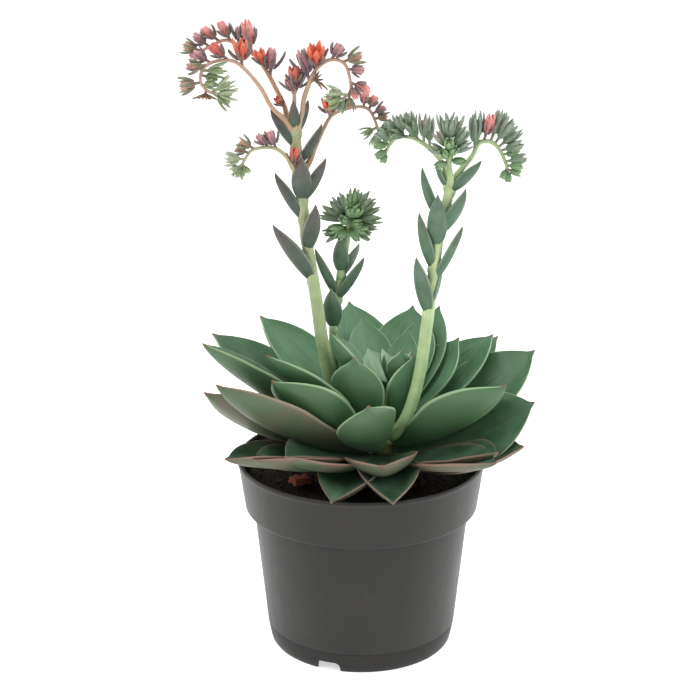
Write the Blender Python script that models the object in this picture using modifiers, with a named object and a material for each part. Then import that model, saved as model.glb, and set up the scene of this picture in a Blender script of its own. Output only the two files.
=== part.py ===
"""A flowering rosette succulent in a round nursery pot. Metres, +Z up, origin under the pot's middle.

Run with: blender --background --python part.py
"""

import math

import bmesh
import bpy
from mathutils import Matrix, Vector

MM = 0.001

# Pot: a thin moulded shell with a deep collar, a foot ring and a flat pad under the middle.
RIM_RADIUS = 70.0 * MM
POT_HEIGHT = 110.0 * MM
COLLAR_HEIGHT = 29.0 * MM
WALL = 1.4 * MM
FOOT_RADIUS = 52.5 * MM
FLOOR_HEIGHT = 6.0 * MM
NOTCH_WIDTH = 14.0 * MM
NOTCH_HEIGHT = 5.5 * MM
SOIL_BELOW_RIM = 7.5 * MM
SOIL_LUMPS = 1.0 * MM

# Plant: sizes below are millimetres and degrees, and heights are above the rim of the pot.
LEAF_THICKNESS = 4.2
CROWN_FOOT = (10, -2, -2)
CROWN_TOP = (18, 5, 40)
CROWN_RADIUS = (6.3, 3.2)
LEAF_START = 7.0
STALK_SIZE = 1.0
FLOWER_SIZE = 1.0
GAP = 0.4

# name: azimuth (0 is +X, 90 the back), rise at the foot and at the tip, length, width,
# place up the crown, roll, sideways sweep, hollowness. The innermost leaves come first.
LEAVES = (
    ("leaf_01", (124, 18, 56, 23, 17, 0.96, 0, 0, 0.35)),
    ("leaf_02", (285, 42, 80, 27, 15, 0.95, 0, 0, 0.35)),
    ("leaf_03", (64, 45, 72, 39, 18, 0.70, 10, 0, 0.35)),
    ("leaf_04", (160, 44, 64, 44, 20, 0.66, 0, 0, 0.35)),
    ("leaf_05", (211, 48, 66, 58, 20, 0.60, 0, 0, 0.35)),
    ("leaf_06", (110, 34, 58, 54, 26, 0.62, 0, 0, 0.35)),
    ("leaf_07", (320, 54, 84, 45, 27, 0.42, 0, 0, 0.35)),
    ("leaf_08", (219, 39, 86, 56, 30, 0.34, 0, 55, 0.35)),
    ("leaf_09", (73, 30, 60, 72, 38, 0.44, 0, 0, 0.35)),
    ("leaf_10", (36, 24, 60, 62, 34, 0.40, 0, 0, 0.40)),
    ("leaf_11", (108, 30, 54, 79, 38, 0.40, 0, 0, 0.35)),
    ("leaf_12", (155, 26, 50, 90, 38, 0.36, -8, 0, 0.40)),
    ("leaf_13", (58, 34, 56, 79, 32, 0.32, 0, 0, 0.35)),
    ("leaf_14", (201, 32, 47, 80, 34, 0.34, 12, 0, 0.40)),
    ("leaf_15", (31, 24, 46, 82, 38, 0.26, 5, 0, 0.45)),
    ("leaf_16", (260, 16, 70, 56, 35, 0.20, 30, 0, 0.45)),
    ("leaf_17", (125, 18, 44, 78, 34, 0.26, 0, 0, 0.35)),
    ("leaf_18", (211, 24, 50, 79, 43, 0.20, 26, 0, 0.40)),
    ("leaf_19", (329, 18, 50, 84, 44, 0.20, -22, 0, 0.50)),
    ("leaf_20", (88, 18, 40, 83, 36, 0.22, 0, 0, 0.35)),
    ("leaf_21", (189, 23, 44, 111, 38, 0.22, 10, 0, 0.50)),
    ("leaf_22", (160, 20, 38, 109, 40, 0.18, -8, 0, 0.35)),
    ("leaf_23", (15, 16, 44, 96, 46, 0.16, 22, 0, 0.30)),
    ("leaf_24", (42, 18, 36, 96, 34, 0.16, 0, 0, 0.35)),
    ("leaf_25", (207, 14, 46, 107, 42, 0.12, 18, 0, 0.45)),
    ("leaf_26", (346, 10, 39, 87, 46, 0.10, 42, 0, 0.15)),
    ("leaf_27", (110, 10, 32, 82, 36, 0.22, 0, 0, 0.35)),
    ("leaf_28", (200, 12, 38, 105, 36, 0.15, 40, 0, 0.20)),
    ("leaf_29", (68, 8, 30, 84, 36, 0.20, 0, 0, 0.35)),
    ("leaf_30", (227, 1, 30, 71, 40, 0.10, -8, 0, 0.40)),
    ("leaf_31", (270, -4, 34, 58, 40, 0.15, 5, 0, 0.40)),
    ("leaf_32", (315, 5, 30, 83, 36, 0.06, 5, 0, 0.40)),
    ("leaf_33", (146, 8, 30, 92, 38, 0.18, 0, 0, 0.35)),
    ("leaf_34", (219, 3, 22, 82, 38, 0.08, 5, 0, 0.40)),
    ("leaf_35", (311, 9, 20, 86, 34, 0.06, 5, 0, 0.35)),
    ("leaf_36", (336, 3, 26, 80, 36, 0.02, 20, 0, 0.30)),
    ("leaf_37", (212, 8, 16, 92, 38, 0.02, 5, 0, 0.40)),
    ("leaf_38", (248, 3, -4, 63, 34, 0.05, 0, 0, 0.55)),
    ("leaf_39", (275, 5, -4, 62, 34, 0.05, 0, 0, 0.55)),
    ("leaf_40", (92, 4, 16, 80, 36, 0.08, 0, 0, 0.35)),
)

# Flower stalks: points along the stem with its radius, then bracts as
# (place along the stem, azimuth, rise at the foot and tip, length, width, roll).
STALKS = {
    "stalk_left": (
        ((-9, 2, 18, 3.6), (-15, 2, 33, 3.7), (-21, 0, 63, 3.6), (-25, 0, 92, 3.5), (-30, 0, 126, 3.3),
         (-33, 0, 154, 3.1), (-35, 0, 176, 2.9), (-36, 0, 190, 2.7)),
        ((0.50, 190, 50, 62, 38, 15, 30), (0.57, 130, 70, 80, 24, 8, 0), (0.60, 300, 60, 84, 28, 11, 0),
         (0.70, 182, 52, 66, 29, 9, 40), (0.755, 268, 60, 86, 27, 11, 0), (0.76, 355, 52, 70, 26, 9, -40),
         (0.86, 120, 66, 80, 17, 6, 0), (0.875, 0, 45, 72, 24, 7, -40), (0.93, 180, 48, 66, 24, 8, 40),
         (0.97, 345, 60, 78, 19, 6, -20), (0.98, 262, 60, 84, 18, 8, 0)),
    ),
    "stalk_right": (
        ((15, -13, 16, 3.2), (20, -16, 21, 3.3), (27, -18, 36, 3.4), (32, -19, 57, 3.4), (35, -18, 80, 3.3),
         (38, -16, 106, 3.2), (41, -14, 130, 3.1), (46, -13, 153, 2.9), (48, -12, 166, 2.6)),
        ((0.50, 205, 70, 84, 33, 12, 20), (0.53, 25, 66, 80, 22, 8, 0), (0.66, 192, 66, 84, 32, 9, 30),
         (0.62, 2, 55, 70, 33, 8, -30), (0.65, 60, 60, 76, 14, 5, 0), (0.735, 268, 66, 84, 31, 11, 0),
         (0.79, 342, 45, 76, 28, 12, -20), (0.83, 182, 55, 84, 31, 7, 40), (0.945, 348, 35, 56, 23, 9, -30),
         (0.95, 172, 50, 76, 14, 5, 0)),
    ),
    "stalk_middle": (
        ((-12, 9, 32, 2.0), (-16, 13, 60, 2.2), (-14, 14, 88, 2.3), (-10, 14, 112, 2.2), (-8, 14, 126, 2.2)),
        ((0.42, 262, 62, 82, 26, 11, 0), (0.62, 200, 60, 72, 30, 7, 30), (0.60, 352, 50, 66, 28, 9, -30),
         (0.74, 30, 45, 64, 20, 7, 0), (0.76, 270, 66, 84, 23, 9, 0)),
    ),
}

# Flower heads: points along the branch with its radius, then flowers as
# (place along the branch, tilt in the XZ plane, lean towards -Y, length, radius).
HEADS = {
    "head_left_1": (
        ((-40, -2, 192, 1.6), (-48, -3, 200, 1.6), (-54, -4, 211, 1.5), (-63, -6, 222, 1.5), (-70, -8, 226, 1.3),
         (-79, -9, 225, 1.2), (-84, -10, 221, 1.1), (-85, -11, 215, 1.1), (-82, -12, 211, 1.0), (-78, -12, 209, 1.0)),
        ((0.49, 95, 10, 16, 3.6), (0.60, 138, 8, 14, 3.0), (0.72, 150, -10, 12, 2.6), (0.75, 183, 22, 11, 2.4),
         (0.79, 170, 0, 10, 2.6), (0.88, 190, 8, 13, 3.4), (0.80, 3, 5, 14, 2.6), (0.83, -16, -12, 12, 2.6),
         (0.90, 10, 15, 8, 2.4), (0.98, 27, 0, 15, 2.4), (1.00, 2, 12, 13, 2.4), (1.00, -35, 0, 12, 2.8),
         (0.94, -95, 5, 9, 2.2)),
    ),
    "head_left_2": (
        ((-40, 5, 193, 1.7), (-42, 6, 200, 1.7), (-47, 7, 210, 1.6), (-51, 9, 217, 1.6), (-57, 11, 225, 1.4),
         (-64, 12, 229, 1.3), (-72, 14, 233, 1.2), (-79, 14, 231, 1.1), (-86, 15, 227, 1.0)),
        ((0.08, 128, 25, 9, 2.4), (0.33, 86, -12, 18, 3.4), (0.42, 108, 12, 11, 3.4), (0.56, 102, 0, 19, 3.6),
         (0.68, 92, -20, 13, 2.6), (0.75, 118, 6, 13, 3.0), (0.84, 140, 0, 13, 2.8), (0.93, 142, 0, 12, 2.8),
         (1.00, 162, 0, 12, 2.8), (1.00, 205, 10, 8, 2.4)),
    ),
    "head_left_3": (
        ((-32, -2, 195, 1.8), (-31, -3, 204, 1.8), (-28, -4, 213, 1.7), (-24, -5, 221, 1.5), (-17, -7, 226, 1.3),
         (-10, -9, 225, 1.2), (-7, -10, 219, 1.1), (-6, -11, 211, 1.0), (-9, -12, 207, 1.0)),
        ((0.30, 105, -6, 20, 3.6), (0.30, 28, 10, 12, 2.2), (0.42, 90, 24, 16, 4.6), (0.58, 56, 8, 11, 3.4),
         (0.68, 20, 0, 13, 3.2), (0.75, -2, 16, 10, 2.6), (0.86, -25, 6, 12, 3.2), (0.88, -68, 20, 9, 2.6),
         (0.95, -90, 0, 11, 2.2), (1.00, -112, 10, 9, 2.4), (0.97, 172, 0, 13, 3.2), (1.00, 196, 20, 12, 2.6)),
    ),
    "head_left_4": (
        ((-28, 2, 170, 1.5), (-25, 3, 177, 1.5), (-21, 4, 186, 1.4), (-17, 6, 193, 1.3), (-12, 7, 196, 1.2),
         (-3, 9, 198, 1.1), (3, 9, 197, 1.1), (6, 9, 193, 1.0), (9, 10, 185, 1.0)),
        ((0.42, 98, 18, 12, 3.4), (0.74, 82, 10, 10, 2.8), (0.79, 62, -8, 9, 2.8), (0.84, 30, 6, 10, 2.4),
         (0.89, 13, -10, 9, 2.4), (1.00, -32, 6, 10, 3.4), (0.97, 205, 12, 11, 2.0), (1.00, -102, 0, 11, 2.6),
         (0.99, 18, -16, 9, 2.2)),
    ),
    "head_left_5": (
        ((-37, -6, 168, 1.5), (-41, -8, 175, 1.5), (-46, -9, 179, 1.3), (-52, -11, 180, 1.2), (-58, -12, 179, 1.1),
         (-61, -13, 176, 1.0), (-64, -14, 171, 1.0)),
        ((0.38, 112, 8, 12, 2.9), (0.50, 131, 0, 10, 2.7), (0.70, 148, 8, 11, 2.6), (0.80, 162, -10, 9, 2.3),
         (0.90, 177, 6, 12, 2.8), (1.00, 206, 0, 8, 2.2), (1.00, 252, 10, 8, 2.2), (0.97, -68, 0, 7, 2.0)),
    ),
    "head_left_6": (
        ((-36, -3, 194, 1.6), (-36, -3, 202, 1.5), (-36, -3, 210, 1.3)),
        ((1.00, 91, 6, 13, 3.4), (0.80, 66, -12, 16, 2.6), (0.80, 116, 14, 12, 2.6)),
    ),
    "head_right_1": (
        ((45, -9, 165, 1.7), (43, -9, 171, 1.7), (38, -8, 177, 1.6), (33, -7, 181, 1.5), (27, -5, 184, 1.4),
         (19, -4, 184, 1.3), (15, -3, 180, 1.2), (13, -2, 176, 1.1)),
        ((0.36, 92, -14, 17, 2.6), (0.45, 90, 6, 17, 2.9), (0.52, 116, 22, 15, 3.2), (0.58, 103, 0, 15, 3.2),
         (0.63, 84, -16, 13, 2.4), (0.70, 108, 4, 13, 3.0), (0.77, 124, -6, 11, 2.8), (0.66, 163, 24, 11, 2.6),
         (0.84, 150, 6, 11, 3.2), (0.90, 186, 0, 9, 2.8), (0.97, 214, 10, 8, 2.6), (1.00, 254, 0, 7, 2.6)),
    ),
    "head_right_2": (
        ((51, -13, 166, 1.8), (55, -12, 171, 1.8), (59, -11, 176, 1.7), (62, -10, 182, 1.6), (67, -9, 183, 1.4),
         (72, -8, 180, 1.3), (76, -7, 173, 1.2), (78, -6, 167, 1.1)),
        ((0.33, 90, 6, 20, 3.0), (0.42, 88, -12, 18, 2.6), (0.50, 76, 8, 17, 3.0), (0.58, 69, -6, 18, 3.0),
         (0.64, 58, 10, 17, 3.0), (0.70, 40, -4, 16, 3.0), (0.75, 20, 12, 13, 2.8), (0.80, 5, -10, 10, 2.6),
         (0.90, 14, 4, 12, 3.0), (0.95, 2, 16, 9, 2.6), (1.00, -20, -6, 8, 2.6), (1.00, -84, 4, 7, 2.6),
         (0.98, -116, 10, 7, 2.4)),
    ),
    "head_right_3": (
        ((47, -17, 165, 1.8), (46, -18, 172, 1.8), (46, -20, 180, 3.4), (46, -21, 187, 3.0)),
        ((0.80, 104, 0, 18, 2.8), (0.85, 90, 12, 16, 3.0), (0.85, 72, -6, 17, 2.8), (0.70, 52, 10, 16, 2.8),
         (0.60, 30, 14, 14, 2.6), (0.70, 124, 10, 14, 2.6), (0.60, 156, 14, 12, 2.6), (0.70, 96, 50, 12, 3.2),
         (0.60, 60, 56, 11, 3.0), (0.50, 130, 50, 11, 3.0), (0.45, 0, 30, 10, 2.6), (0.40, 190, 30, 9, 2.6)),
    ),
    "head_middle": (
        ((-8, 14, 125, 1.9), (-7, 14, 132, 1.8), (-5, 13, 136, 2.0)),
        ((0.77, 140, 6, 17, 3.2), (0.66, 160, -8, 17, 3.0), (0.83, 122, 0, 16, 3.2), (0.89, 105, 12, 15, 3.2),
         (0.94, 86, 4, 17, 3.2), (0.94, 66, -6, 16, 3.2), (0.89, 50, 8, 18, 3.2), (0.89, 30, -4, 17, 3.2),
         (0.77, 12, 6, 18, 3.2), (0.66, -2, 0, 16, 2.6), (0.83, 92, 40, 12, 3.4), (0.83, 60, 36, 13, 3.4)),
    ),
}

# The young heart: small leaves standing up, as (azimuth, rise, length, width, distance from the middle).
HEART = tuple((137.5 * i % 360, 62 + 2.5 * i, 19 - 0.9 * i, 8.5 - 0.4 * i, 4.2 - 0.4 * i) for i in range(9))


def new_object(name, mesh):
    thing = bpy.data.objects.new(name, mesh)
    helpers.objects.link(thing)
    thing.hide_render = True
    thing.display_type = "WIRE"
    return thing


def mesh_object(name, bm):
    mesh = bpy.data.meshes.new(name)
    bm.to_mesh(mesh)
    bm.free()
    return new_object(name, mesh)


def point(x, y, z):
    """A place given in millimetres, with its height above the rim, in metres."""
    return Vector((x * MM, y * MM, POT_HEIGHT + z * MM))


def smooth(points, count):
    """Points spaced evenly along a smooth line through the given ones."""
    points = [Vector(p) for p in points]
    ends = [2 * points[0] - points[1]] + points + [2 * points[-1] - points[-2]]
    dense = []
    for a, b, c, d in zip(ends, ends[1:], ends[2:], ends[3:]):
        for i in range(12):
            t = i / 12
            dense.append(0.5 * (2 * b + (c - a) * t + (2 * a - 5 * b + 4 * c - d) * t * t
                                + (3 * b - a - 3 * c + d) * t ** 3))
    dense.append(points[-1])
    steps = [0.0]
    for a, b in zip(dense, dense[1:]):
        steps.append(steps[-1] + (b - a).length)
    line, at = [], 0
    for i in range(count + 1):
        want = steps[-1] * i / count
        while at < len(steps) - 2 and steps[at + 1] < want:
            at += 1
        part = (want - steps[at]) / max(steps[at + 1] - steps[at], 1e-9)
        line.append(dense[at].lerp(dense[at + 1], min(part, 1.0)))
    return line


def leaf_outline(s):
    """Half-width along a spoon-shaped leaf, as a share of its greatest half-width."""
    if s < 0.62:
        return 0.24 + 0.76 * math.sin(math.pi / 2 * s / 0.62) ** 1.5
    return max(0.0, 1 - ((s - 0.62) / 0.38) ** 2) ** 0.85


def make_leaf(foot, azimuth, rise, tip_rise, length, width, roll=0, sweep=0, cup=0.35,
              thickness=LEAF_THICKNESS, grow=0.0, across=8, along=8):
    """A sphere drawn out into a curved, hollowed leaf. foot is in metres, the rest in millimetres."""
    bm = bmesh.new()
    bmesh.ops.create_uvsphere(bm, u_segments=across, v_segments=along, radius=1)
    steps = 48
    centre, line = Vector(foot), [Vector(foot)]
    for i in range(steps):
        t = (i + 0.5) / steps
        up = math.radians(rise + (tip_rise - rise) * t)
        turn = math.radians(azimuth + sweep * t)
        centre = centre + Vector((math.cos(up) * math.cos(turn), math.cos(up) * math.sin(turn),
                                  math.sin(up))) * length * MM / steps
        line.append(centre)
    for v in bm.verts:
        s = min(max((1 + v.co.z) / 2, 0.0), 1.0)
        ring = math.atan2(v.co.y, v.co.x)
        up = math.radians(rise + (tip_rise - rise) * s)
        turn = math.radians(azimuth + sweep * s)
        forward = Vector((math.cos(up) * math.cos(turn), math.cos(up) * math.sin(turn), math.sin(up)))
        side = Vector((-math.sin(turn), math.cos(turn), 0))
        face = forward.cross(side)
        tilt = math.radians(roll)
        side, face = side * math.cos(tilt) + face * math.sin(tilt), face * math.cos(tilt) - side * math.sin(tilt)
        end = math.sqrt(min(1.0, s / 0.05))
        half = (width / 2 * leaf_outline(s) * end + grow * min(1, 60 * s * (1 - s))) * MM
        deep = (thickness * 0.75 * (0.75 + 0.25 * math.sin(math.pi * s)) * end
                * math.sqrt(max(0.0, 1 - (max(s - 0.85, 0) / 0.15) ** 2)))
        x, z = math.cos(ring) * half, math.sin(ring)
        lift = cup * (math.cos(ring) ** 2 * half + 1.3 * math.cos(ring) ** 4 * grow * MM)
        swell = deep * (0.3 if z > 0 else 1.0) * math.copysign(abs(z) ** 0.8, z) + grow * z
        if s < 1e-6 or s > 1 - 1e-6:
            x = lift = swell = 0.0
        at = s * steps
        low = min(int(at), steps - 1)
        place = line[low].lerp(line[low + 1], at - low)
        end_push = grow * ((1 if s > 1 - 1e-6 else 0) - (1 if s < 1e-6 else 0))
        v.co = place + forward * end_push * MM + side * x + face * (lift + swell * MM)
    # The twisted quads are split the same way in a leaf and in its grown copy.
    bmesh.ops.triangulate(bm, faces=bm.faces, quad_method="FIXED")
    return mesh_object("leaf", bm)


def make_bud(foot, direction, length, radius, stem=0.9, grow=0.0):
    """A flower or bud on its short stem: a sphere drawn out into a spindle."""
    bm = bmesh.new()
    bmesh.ops.create_uvsphere(bm, u_segments=5, v_segments=6, radius=1)
    turn = direction.to_track_quat("Z", "Y").to_matrix()
    for v in bm.verts:
        s = (1 + v.co.z) / 2
        ring = Vector((v.co.x, v.co.y, 0))
        out = 0.0
        if ring.length > 1e-4:
            ring.normalize()
            bulb = math.sin(math.pi * min(max((s - 0.28) / 0.72, 0.0), 1.0) ** 0.8)
            out = stem + (radius - stem) * max(bulb, 0.0) + grow
            if s > 0.9:
                out *= 0.6
        along = s * length + grow * (1 if s > 0.99 else -1 if s < 0.01 else 0)
        v.co = Vector(foot) + turn @ (ring * out + Vector((0, 0, along - 0.7))) * MM
    return mesh_object("bud", bm)


def make_tube(points, radii, grow=0.0, count=8, resolution=1):
    """A round stem along a smooth line, as a welded mesh. Points in metres, radii in millimetres."""
    line = smooth(points, count)
    curve = bpy.data.curves.new("tube", "CURVE")
    curve.dimensions = "3D"
    curve.bevel_depth = 1.0
    curve.bevel_resolution = resolution
    curve.use_fill_caps = True
    spline = curve.splines.new("POLY")
    spline.points.add(len(line) - 1)
    for i, (control, place) in enumerate(zip(spline.points, line)):
        at = i / count * (len(radii) - 1)
        low = min(int(at), len(radii) - 2)
        control.co = (*place, 1)
        control.radius = (radii[low] + (radii[low + 1] - radii[low]) * (at - low) + grow) * MM
    guide = new_object("tube", curve)
    bpy.context.view_layer.update()
    mesh = bpy.data.meshes.new_from_object(guide.evaluated_get(bpy.context.evaluated_depsgraph_get()))
    bpy.data.objects.remove(guide)
    bm = bmesh.new()
    bm.from_mesh(mesh)
    bmesh.ops.remove_doubles(bm, verts=bm.verts, dist=1e-6)
    bmesh.ops.recalc_face_normals(bm, faces=bm.faces)
    bmesh.ops.triangulate(bm, faces=bm.faces, quad_method="FIXED")
    return mesh_object("tube", bm)


def make_turned(profile, steps=48, name="turned"):
    """A closed solid turned about Z from (radius, height) pairs that run down its outer side."""
    mesh = bpy.data.meshes.new(name)
    mesh.from_pydata([(r, 0, z) for r, z in profile], [(i, i + 1) for i in range(len(profile) - 1)], [])
    thing = new_object(name, mesh)
    screw = thing.modifiers.new("Screw", "SCREW")
    screw.steps = screw.render_steps = steps
    screw.use_merge_vertices = True
    screw.merge_threshold = 1e-5
    return bake(thing)


def bake(thing):
    """The object with its modifiers made real. Only its largest body is kept."""
    bpy.context.view_layer.update()
    mesh = bpy.data.meshes.new_from_object(thing.evaluated_get(bpy.context.evaluated_depsgraph_get()))
    thing.modifiers.clear()
    thing.data = mesh
    bm = bmesh.new()
    bm.from_mesh(mesh)
    bmesh.ops.remove_doubles(bm, verts=bm.verts, dist=2e-7)
    bmesh.ops.triangulate(bm, faces=bm.faces)
    bodies, seen = [], set()
    for first in bm.verts:
        if first in seen:
            continue
        body, queue = {first}, [first]
        while queue:
            for edge in queue.pop().link_edges:
                for v in edge.verts:
                    if v not in body:
                        body.add(v)
                        queue.append(v)
        seen |= body
        faces = {f for v in body for f in v.link_faces}
        volume = sum(f.verts[0].co.dot(f.verts[1].co.cross(f.verts[2].co)) / 6 for f in faces)
        bodies.append((volume, body))
    for _, body in sorted(bodies, key=lambda found: -found[0])[1:]:
        bmesh.ops.delete(bm, geom=list(body), context="VERTS")
    bm.to_mesh(mesh)
    bm.free()
    return thing


def box_of(thing):
    corners = [thing.matrix_world @ v.co for v in thing.data.vertices]
    return [[f(c[i] for c in corners) for i in range(3)] for f in (min, max)]


def touches(a, b, by=0.5 * MM):
    return all(a[0][i] - by < b[1][i] and b[0][i] - by < a[1][i] for i in range(3))


def set_of(things, name):
    group = bpy.data.collections.new(name)
    for thing in things:
        group.objects.link(thing)
    return group


def combine(base, group, operation):
    cut = base.modifiers.new(operation, "BOOLEAN")
    cut.operation = operation
    cut.operand_type = "COLLECTION"
    cut.collection = group
    cut.solver = "EXACT"


MADE = []


def add_node(name, pieces, colour, roughness, cut=True, flat=False):
    """One node from its pieces, each a (function, arguments) pair that takes grow: they are joined,
    then cut back from every node made before, leaving a gap."""
    solids = [make(*given, grow=0.0) for make, given in pieces]
    boxes = [box_of(s) for s in solids]
    base = solids[0]
    if len(solids) > 1:
        combine(base, set_of(solids[1:], name + "_joined"), "UNION")
    around = []
    if cut:
        for (make, given), box in MADE:
            if any(touches(box, other) for other in boxes):
                around.append(make(*given, grow=GAP))
    for other in around:
        cut_away = base.modifiers.new("Clear", "BOOLEAN")
        cut_away.operation = "DIFFERENCE"
        cut_away.object = other
        cut_away.solver = "EXACT"
    bake(base)
    for extra in solids[1:] + around:
        bpy.data.objects.remove(extra)
    MADE.extend(zip(pieces, boxes))
    finish(base, name, colour, roughness, flat)
    return base


def finish(thing, name, colour, roughness, flat=False):
    """Names the piece, moves it out of the helpers, and gives it its material and shading."""
    helpers.objects.unlink(thing)
    plant.objects.link(thing)
    thing.name = thing.data.name = name
    thing.hide_render = False
    thing.display_type = "TEXTURED"
    material = bpy.data.materials.new(name)
    material.use_nodes = True
    shader = material.node_tree.nodes["Principled BSDF"]
    shader.inputs["Base Color"].default_value = (*colour, 1)
    shader.inputs["Roughness"].default_value = roughness
    thing.data.materials.clear()
    thing.data.materials.append(material)
    thing.data.shade_flat() if flat else thing.data.shade_smooth()
    thing.data.set_sharp_from_angle(angle=math.radians(40))


for old in list(bpy.data.objects):
    bpy.data.objects.remove(old)
plant = bpy.data.collections.new("potted_succulent")
helpers = bpy.data.collections.new("helpers")
bpy.context.scene.collection.children.link(plant)
bpy.context.scene.collection.children.link(helpers)

# Pot: the profile runs from the middle of the floor up the inside, over the lip and down the outside.
collar = POT_HEIGHT - COLLAR_HEIGHT
inner_rim = RIM_RADIUS - 2.6 * MM
inner_foot = FOOT_RADIUS - WALL
pot_profile = (
    (0, FLOOR_HEIGHT + WALL),
    (inner_foot - 2 * MM, FLOOR_HEIGHT + WALL),
    (RIM_RADIUS - 11 * MM, collar - 2 * MM),
    (RIM_RADIUS - 6.4 * MM, collar + 1 * MM),
    (inner_rim - 1.6 * MM, POT_HEIGHT - 5 * MM),
    (inner_rim, POT_HEIGHT - 3 * MM),
    (inner_rim, POT_HEIGHT - 0.6 * MM),
    (inner_rim + 0.6 * MM, POT_HEIGHT),
    (RIM_RADIUS - 0.6 * MM, POT_HEIGHT),
    (RIM_RADIUS, POT_HEIGHT - 0.6 * MM),
    (RIM_RADIUS - 0.2 * MM, POT_HEIGHT - 3.5 * MM),
    (RIM_RADIUS - 4.6 * MM, collar + 1 * MM),
    (RIM_RADIUS - 5.2 * MM, collar),
    (RIM_RADIUS - 8.8 * MM, collar - 1.5 * MM),
    (FOOT_RADIUS + 1.3 * MM, 12 * MM),
    (FOOT_RADIUS, 0.8 * MM),
    (FOOT_RADIUS - 0.6 * MM, 0),
    (FOOT_RADIUS - 3.6 * MM, 0),
    (FOOT_RADIUS - 4.4 * MM, FLOOR_HEIGHT),
    (9 * MM, FLOOR_HEIGHT),
    (8 * MM, 0),
    (0, 0),
)
pot = make_turned(pot_profile, steps=40, name="pot")
drains = []
for turn in (9, 129, 249):
    bm = bmesh.new()
    bmesh.ops.create_cube(bm, size=1)
    bmesh.ops.scale(bm, verts=bm.verts, vec=(16 * MM, NOTCH_WIDTH, 2 * NOTCH_HEIGHT))
    bmesh.ops.translate(bm, verts=bm.verts, vec=(FOOT_RADIUS - 1 * MM, 0, 0))
    top = [e for e in bm.edges if all(v.co.z > 0 for v in e.verts) and abs(e.verts[0].co.x - e.verts[1].co.x) > MM]
    bmesh.ops.bevel(bm, geom=top, offset=3 * MM, segments=2, affect="EDGES", profile=0.5)
    bmesh.ops.rotate(bm, verts=bm.verts, matrix=Matrix.Rotation(math.radians(turn), 3, "Z"))
    drains.append(mesh_object("notch", bm))
for i in range(6):
    bm = bmesh.new()
    bmesh.ops.create_cone(bm, cap_ends=True, segments=12, radius1=4 * MM, radius2=4 * MM, depth=20 * MM,
                          matrix=Matrix.Rotation(i * math.pi / 3 + 0.3, 4, "Z")
                          @ Matrix.Translation((FOOT_RADIUS * 0.64, 0, FLOOR_HEIGHT)))
    drains.append(mesh_object("drain", bm))
combine(pot, set_of(drains, "pot_drains"), "DIFFERENCE")
bake(pot)
for drain in drains:
    bpy.data.objects.remove(drain)
finish(pot, "pot", (0.08, 0.078, 0.075), 0.5)

# Soil: a plug that fills the pot just short of its wall, with a lumpy top.
soil_top = POT_HEIGHT - SOIL_BELOW_RIM
gap = 0.3 * MM
soil_profile = (
    (0, soil_top), (16 * MM, soil_top), (32 * MM, soil_top), (46 * MM, soil_top), (56 * MM, soil_top),
    (RIM_RADIUS - 5.9 * MM, soil_top - 2.0 * MM),
    (RIM_RADIUS - 6.4 * MM - 1.5 * gap, collar + 1 * MM + gap),
    (RIM_RADIUS - 11 * MM - 1.5 * gap, collar - 2 * MM),
    (inner_foot - 2 * MM - 1.5 * gap, FLOOR_HEIGHT + WALL + gap),
    (0, FLOOR_HEIGHT + WALL + gap),
)
soil = make_turned(soil_profile, steps=32, name="soil")
for v in soil.data.vertices:
    if v.co.z > soil_top - 0.1 * MM:
        x, y = v.co.x * 1000, v.co.y * 1000
        v.co.z += SOIL_LUMPS * (0.5 * math.sin(0.31 * x + 0.17 * y) + 0.5 * math.sin(0.23 * y - 0.41 * x + 1))
finish(soil, "soil", (0.03, 0.02, 0.013), 0.95, flat=True)


def make_pot_space(grow=0.0):
    """The room that the pot and soil take, for cutting the plant back from them."""
    low, more = POT_HEIGHT - SOIL_BELOW_RIM + SOIL_LUMPS, grow * MM
    return make_turned(((0, low + more), (inner_rim - 1.8 * MM - more, low + more),
                        (inner_rim - more, POT_HEIGHT + more), (RIM_RADIUS + more, POT_HEIGHT + more),
                        (RIM_RADIUS + more, POT_HEIGHT - 40 * MM), (0, POT_HEIGHT - 40 * MM)), 48)


pot_space = make_pot_space()
MADE.append(((make_pot_space, ()), box_of(pot_space)))
bpy.data.objects.remove(pot_space)

# A chip of fired clay lies on the soil at the front.
bm = bmesh.new()
bmesh.ops.create_cube(bm, size=1)
bmesh.ops.scale(bm, verts=bm.verts, vec=(11 * MM, 8 * MM, 3.2 * MM))
bmesh.ops.bevel(bm, geom=bm.edges, offset=0.5 * MM, segments=1, affect="EDGES", profile=0.5)
bmesh.ops.transform(bm, verts=bm.verts, matrix=Matrix.Translation(
    (-34 * MM, -25 * MM, soil_top + SOIL_LUMPS + 1.9 * MM)) @ Matrix.Rotation(math.radians(35), 4, "Z"))
chip = mesh_object("clay_chip", bm)
finish(chip, "clay_chip", (0.5, 0.12, 0.06), 0.9, flat=True)

# Crown: the short woody stem that carries the leaves, with the stub of an old stalk at its front.
foot, top = point(*CROWN_FOOT), point(*CROWN_TOP)
root = Vector((foot.x, foot.y, soil_top - 2 * MM))
stub = point(10, -6, 6)
add_node("crown", [
    (make_tube, ((root, foot, foot.lerp(top, 0.5), top), (7, CROWN_RADIUS[0], 5, CROWN_RADIUS[1]))),
    (make_tube, ((stub, stub.lerp(point(9, -13, 9), 0.5), point(9, -13, 9)), (3.2, 3.2, 2.6))),
], (0.22, 0.3, 0.06), 0.6)

# Heart: the youngest leaves, joined at their feet.
heart_foot = top + Vector((0, 0, 2.5 * MM))
heart = [(make_tube, ((top + Vector((0, 0, 1 * MM)), heart_foot, heart_foot + Vector((0, 0, 3 * MM))), (2.6, 3.2, 2.2)))]


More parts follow.
